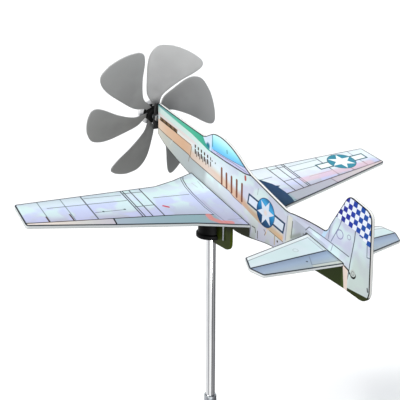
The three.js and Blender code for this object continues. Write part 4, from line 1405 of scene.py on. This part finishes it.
def build_propeller():
    """The axle, its washers and nut, the ribbed hub, the domed spinner and six blades."""
    head, shaft, step = 4.4, 2.5, 6.8
    axle = corners([
        (0, 4.6), (head, 4.6, 0.3), (head, step), (shaft, step), (shaft, 34, 0.5), (0, 34),
    ], 4, closed=False)

    def headed(r, z, a):
        return np.where((r > 3) & (z < step + 0.1), r * hexagon(a) * 0.88, r + 0 * a)

    hole, across = 2.8, 4.6
    fixed = [
        ("axle_bolt", "prop_axle", turned(axle, 72, headed)),
        ("washer_rear", "axle_washer_rear", turned(ring_section(hole, across, 9.6, 10.8, 0.2), 64)),
        ("washer_front", "axle_washer_front", turned(ring_section(hole, across, 27.9, 28.9, 0.2), 64)),
        ("lock_nut", "axle_lock_nut", nut_shell(hole, across, 29.2, 32.6)),
    ]
    for name, node, shell in fixed:
        piece(name, shell.placed(forward), "aeroplane", [node], "zinc")
    build_hub()
    build_spinner()
    for i, angle in enumerate(BLADE_ANGLES, 1):
        piece(f"blade_panel_{i}", blade_shell(angle), "propeller", [f"blade_{i}"], "blade_grey",
              crease=60)


def build_hub():
    """Ribs round a barrel: the profile steps between two radii every rib pitch, and six slots
    take the blades. A slot is a box pitched like its blade: depth = w / cos(pitch) + v tan(pitch)."""
    bore, radius, valley, pitch = 4.4, 9.0, 8.1, 1.9
    rows = [(bore, HUB_REAR), (radius - 1.0, HUB_REAR, 0.3)]
    for start in HUB_REAR + 0.5 + np.arange(8) * pitch:
        rows += [
            (valley, start), (radius, start + 0.25, 0.12), (radius, start + 1.15, 0.12),
            (valley, start + 1.4),
        ]
    rows += [(valley, HUB_FRONT, 0.3), (bore, HUB_FRONT), (bore, HUB_REAR)]
    shell = turned(corners(rows, 2, closed=False), 96).placed(forward)
    made = piece("ribbed_hub", shell, "propeller", ["prop_hub"], "black_plastic")
    tools = []
    for angle in BLADE_ANGLES:
        def move(points, angle=angle):
            u, v, w = np.moveaxis(points, -1, 0)
            depth = w / math.cos(BLADE_PITCH) + v * math.tan(BLADE_PITCH)
            return turned_out(u, v, depth, angle)

        tools.append(block((6.6, -4.9, -1.2), (18.6, 3.7, 1.2)).placed(move, aeroplane))
    cut_away(made, tools)


def build_spinner():
    """A thin dome: an elliptical wall r = R cos a, z = length sin a, with a flat flange behind it."""
    wall, bore, lip = 1.5, 9.3, 12.0
    rim = SPINNER_REAR + wall
    length = SPINNER_TIP - rim
    a = np.linspace(0, math.pi / 2, 25)[:, None]
    outer = np.hstack([SPINNER_RADIUS * np.cos(a), rim + length * np.sin(a)])
    inner = np.hstack([(SPINNER_RADIUS - wall) * np.cos(a), rim + (length - wall) * np.sin(a)])[::-1]
    outer[-1, 0] = inner[0, 0] = 0
    flange = corners([
        (lip, rim), (bore, rim), (bore, SPINNER_REAR, 0.2), (SPINNER_RADIUS, SPINNER_REAR, 0.7),
        (SPINNER_RADIUS, rim),
    ], 5, closed=False)
    profile = np.concatenate([inner, flange[:-1], outer])
    piece("spinner_dome", turned(profile, 96).placed(forward), "propeller", ["spinner_cap"],
          "spinner_white")


def finish_hidden_nodes():
    """The small inner pieces keep their CAD shape and get their real finish."""
    for node, finish in (
        ("pole_plug", "nylon"), ("thrust_washer", "zinc"), ("swivel_bush", "brass"),
        ("hub_bush_rear", "brass"), ("hub_bush_front", "brass"),
    ):
        kept = frame["nodes"][node]
        kept.data.materials.clear()
        kept.data.materials.append(FINISHES[finish])


build_mast()
build_swivel()
build_boards()
build_fittings()
build_propeller()
finish_hidden_nodes()


# ---- floor, light and camera ----
def build_floor():
    """A wide pale disc under the stake's point. It is left out of bounce light and reflections,
    so that the undersides stay as dark as they are over lawn, and it doesn't shade the low lamps."""
    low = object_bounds()[0].z
    disc = circle((0, 0), 60.0, 96)[::-1]
    mesh = bpy.data.meshes.new("floor")
    mesh.from_pydata([(x, y, low) for x, y in disc], [], [list(range(len(disc)))])
    floor = add_object("floor", mesh)
    pale = bpy.data.materials.new("floor_pale")
    pale.use_nodes = True
    surface = pale.node_tree.nodes["Principled BSDF"]
    surface.inputs["Base Color"].default_value = (0.93, 0.93, 0.93, 1)
    surface.inputs["Roughness"].default_value = 0.9
    mesh.materials.append(pale)
    floor.visible_diffuse = False
    floor.visible_glossy = False
    floor.visible_shadow = False


def add_sun(name, travel, strength, softness, colour):
    """A soft sun whose light travels in a direction."""
    lamp = bpy.data.lights.new(name, "SUN")
    lamp.energy = strength
    lamp.angle = math.radians(softness)
    lamp.color = colour
    made = add_object(name, lamp)
    made.rotation_mode = "QUATERNION"
    made.rotation_quaternion = Vector(travel).to_track_quat("-Z", "Y")


def build_light():
    """A key from high on the port side, a broad fill from behind, and a dome: cool above, olive below.
    Shiny metal sees its own dome, with soft upright strips of light and dark."""
    add_sun("key", (-1.0, 0.1, -1.15), 2.9, 12, (1.0, 0.99, 0.96))
    add_sun("rear_fill", (-0.25, -1.0, 0.06), 1.75, 30, (1.0, 1.0, 1.0))
    add_sun("front_fill", (0.85, 0.75, -0.2), 1.5, 30, (0.98, 0.99, 1.0))
    world = bpy.data.worlds.new("studio")
    bpy.context.scene.world = world
    world.use_nodes = True
    tree = world.node_tree
    dome = Paint(tree, "#ffffff")
    direction = tree.nodes.new("ShaderNodeTexCoord").outputs["Generated"]
    x, y, z = dome.split(direction)
    ambient = dome.ramp(z, -1, 1, [
        (-1, "#46493a"), (-0.15, "#5a5d50"), (0.05, "#93979c"), (1, "#b6bbc2"),
    ])
    angle = y.op("ARCTAN2", x)
    strips = dome.ramp(angle, -math.pi, math.pi, [
        (-3.14, "#6e6e70"), (-2.3, "#6e6e70"), (-2.0, "#f6f6f6"), (-0.3, "#f0f0f2"),
        (-0.1, "#b4b4b6"), (0.36, "#b4b4b6"), (0.55, "#ffffff"), (1.38, "#ffffff"), (1.55, "#646466"),
        (1.95, "#6e6e70"), (2.15, "#acacae"), (2.4, "#acacae"), (2.62, "#606062"), (3.14, "#6e6e70"),
    ])
    rays = tree.nodes.new("ShaderNodeLightPath").outputs
    dome.cover(ambient)
    dome.lay(strips, dome.field(rays["Is Glossy Ray"]))
    dome.lay("#fbfbfb", dome.field(rays["Is Camera Ray"]))
    back = tree.nodes["Background"]
    back.inputs["Strength"].default_value = 1.0
    tree.links.new(dome.colour, back.inputs["Color"])


def build_camera():
    """Looking down a little from behind the port wing, at the pole's top."""
    azimuth, elevation, distance = math.radians(148.87), math.radians(17.66), 0.753
    aim = Vector((0.00965, -0.00601, 0.2581))
    level = math.cos(elevation)
    back = Vector((math.sin(azimuth) * level, -math.cos(azimuth) * level, math.sin(elevation)))
    lens = bpy.data.cameras.new("camera")
    lens.lens = 66.86
    lens.sensor_width = 36
    camera = add_object("camera", lens)
    camera.location = aim + back * distance
    camera.rotation_euler = (-back).to_track_quat("-Z", "Y").to_euler()
    bpy.context.scene.camera = camera


build_floor()
build_light()
build_camera()
bpy.context.scene.view_settings.view_transform = "Standard"
bpy.context.scene.view_settings.look = "None"
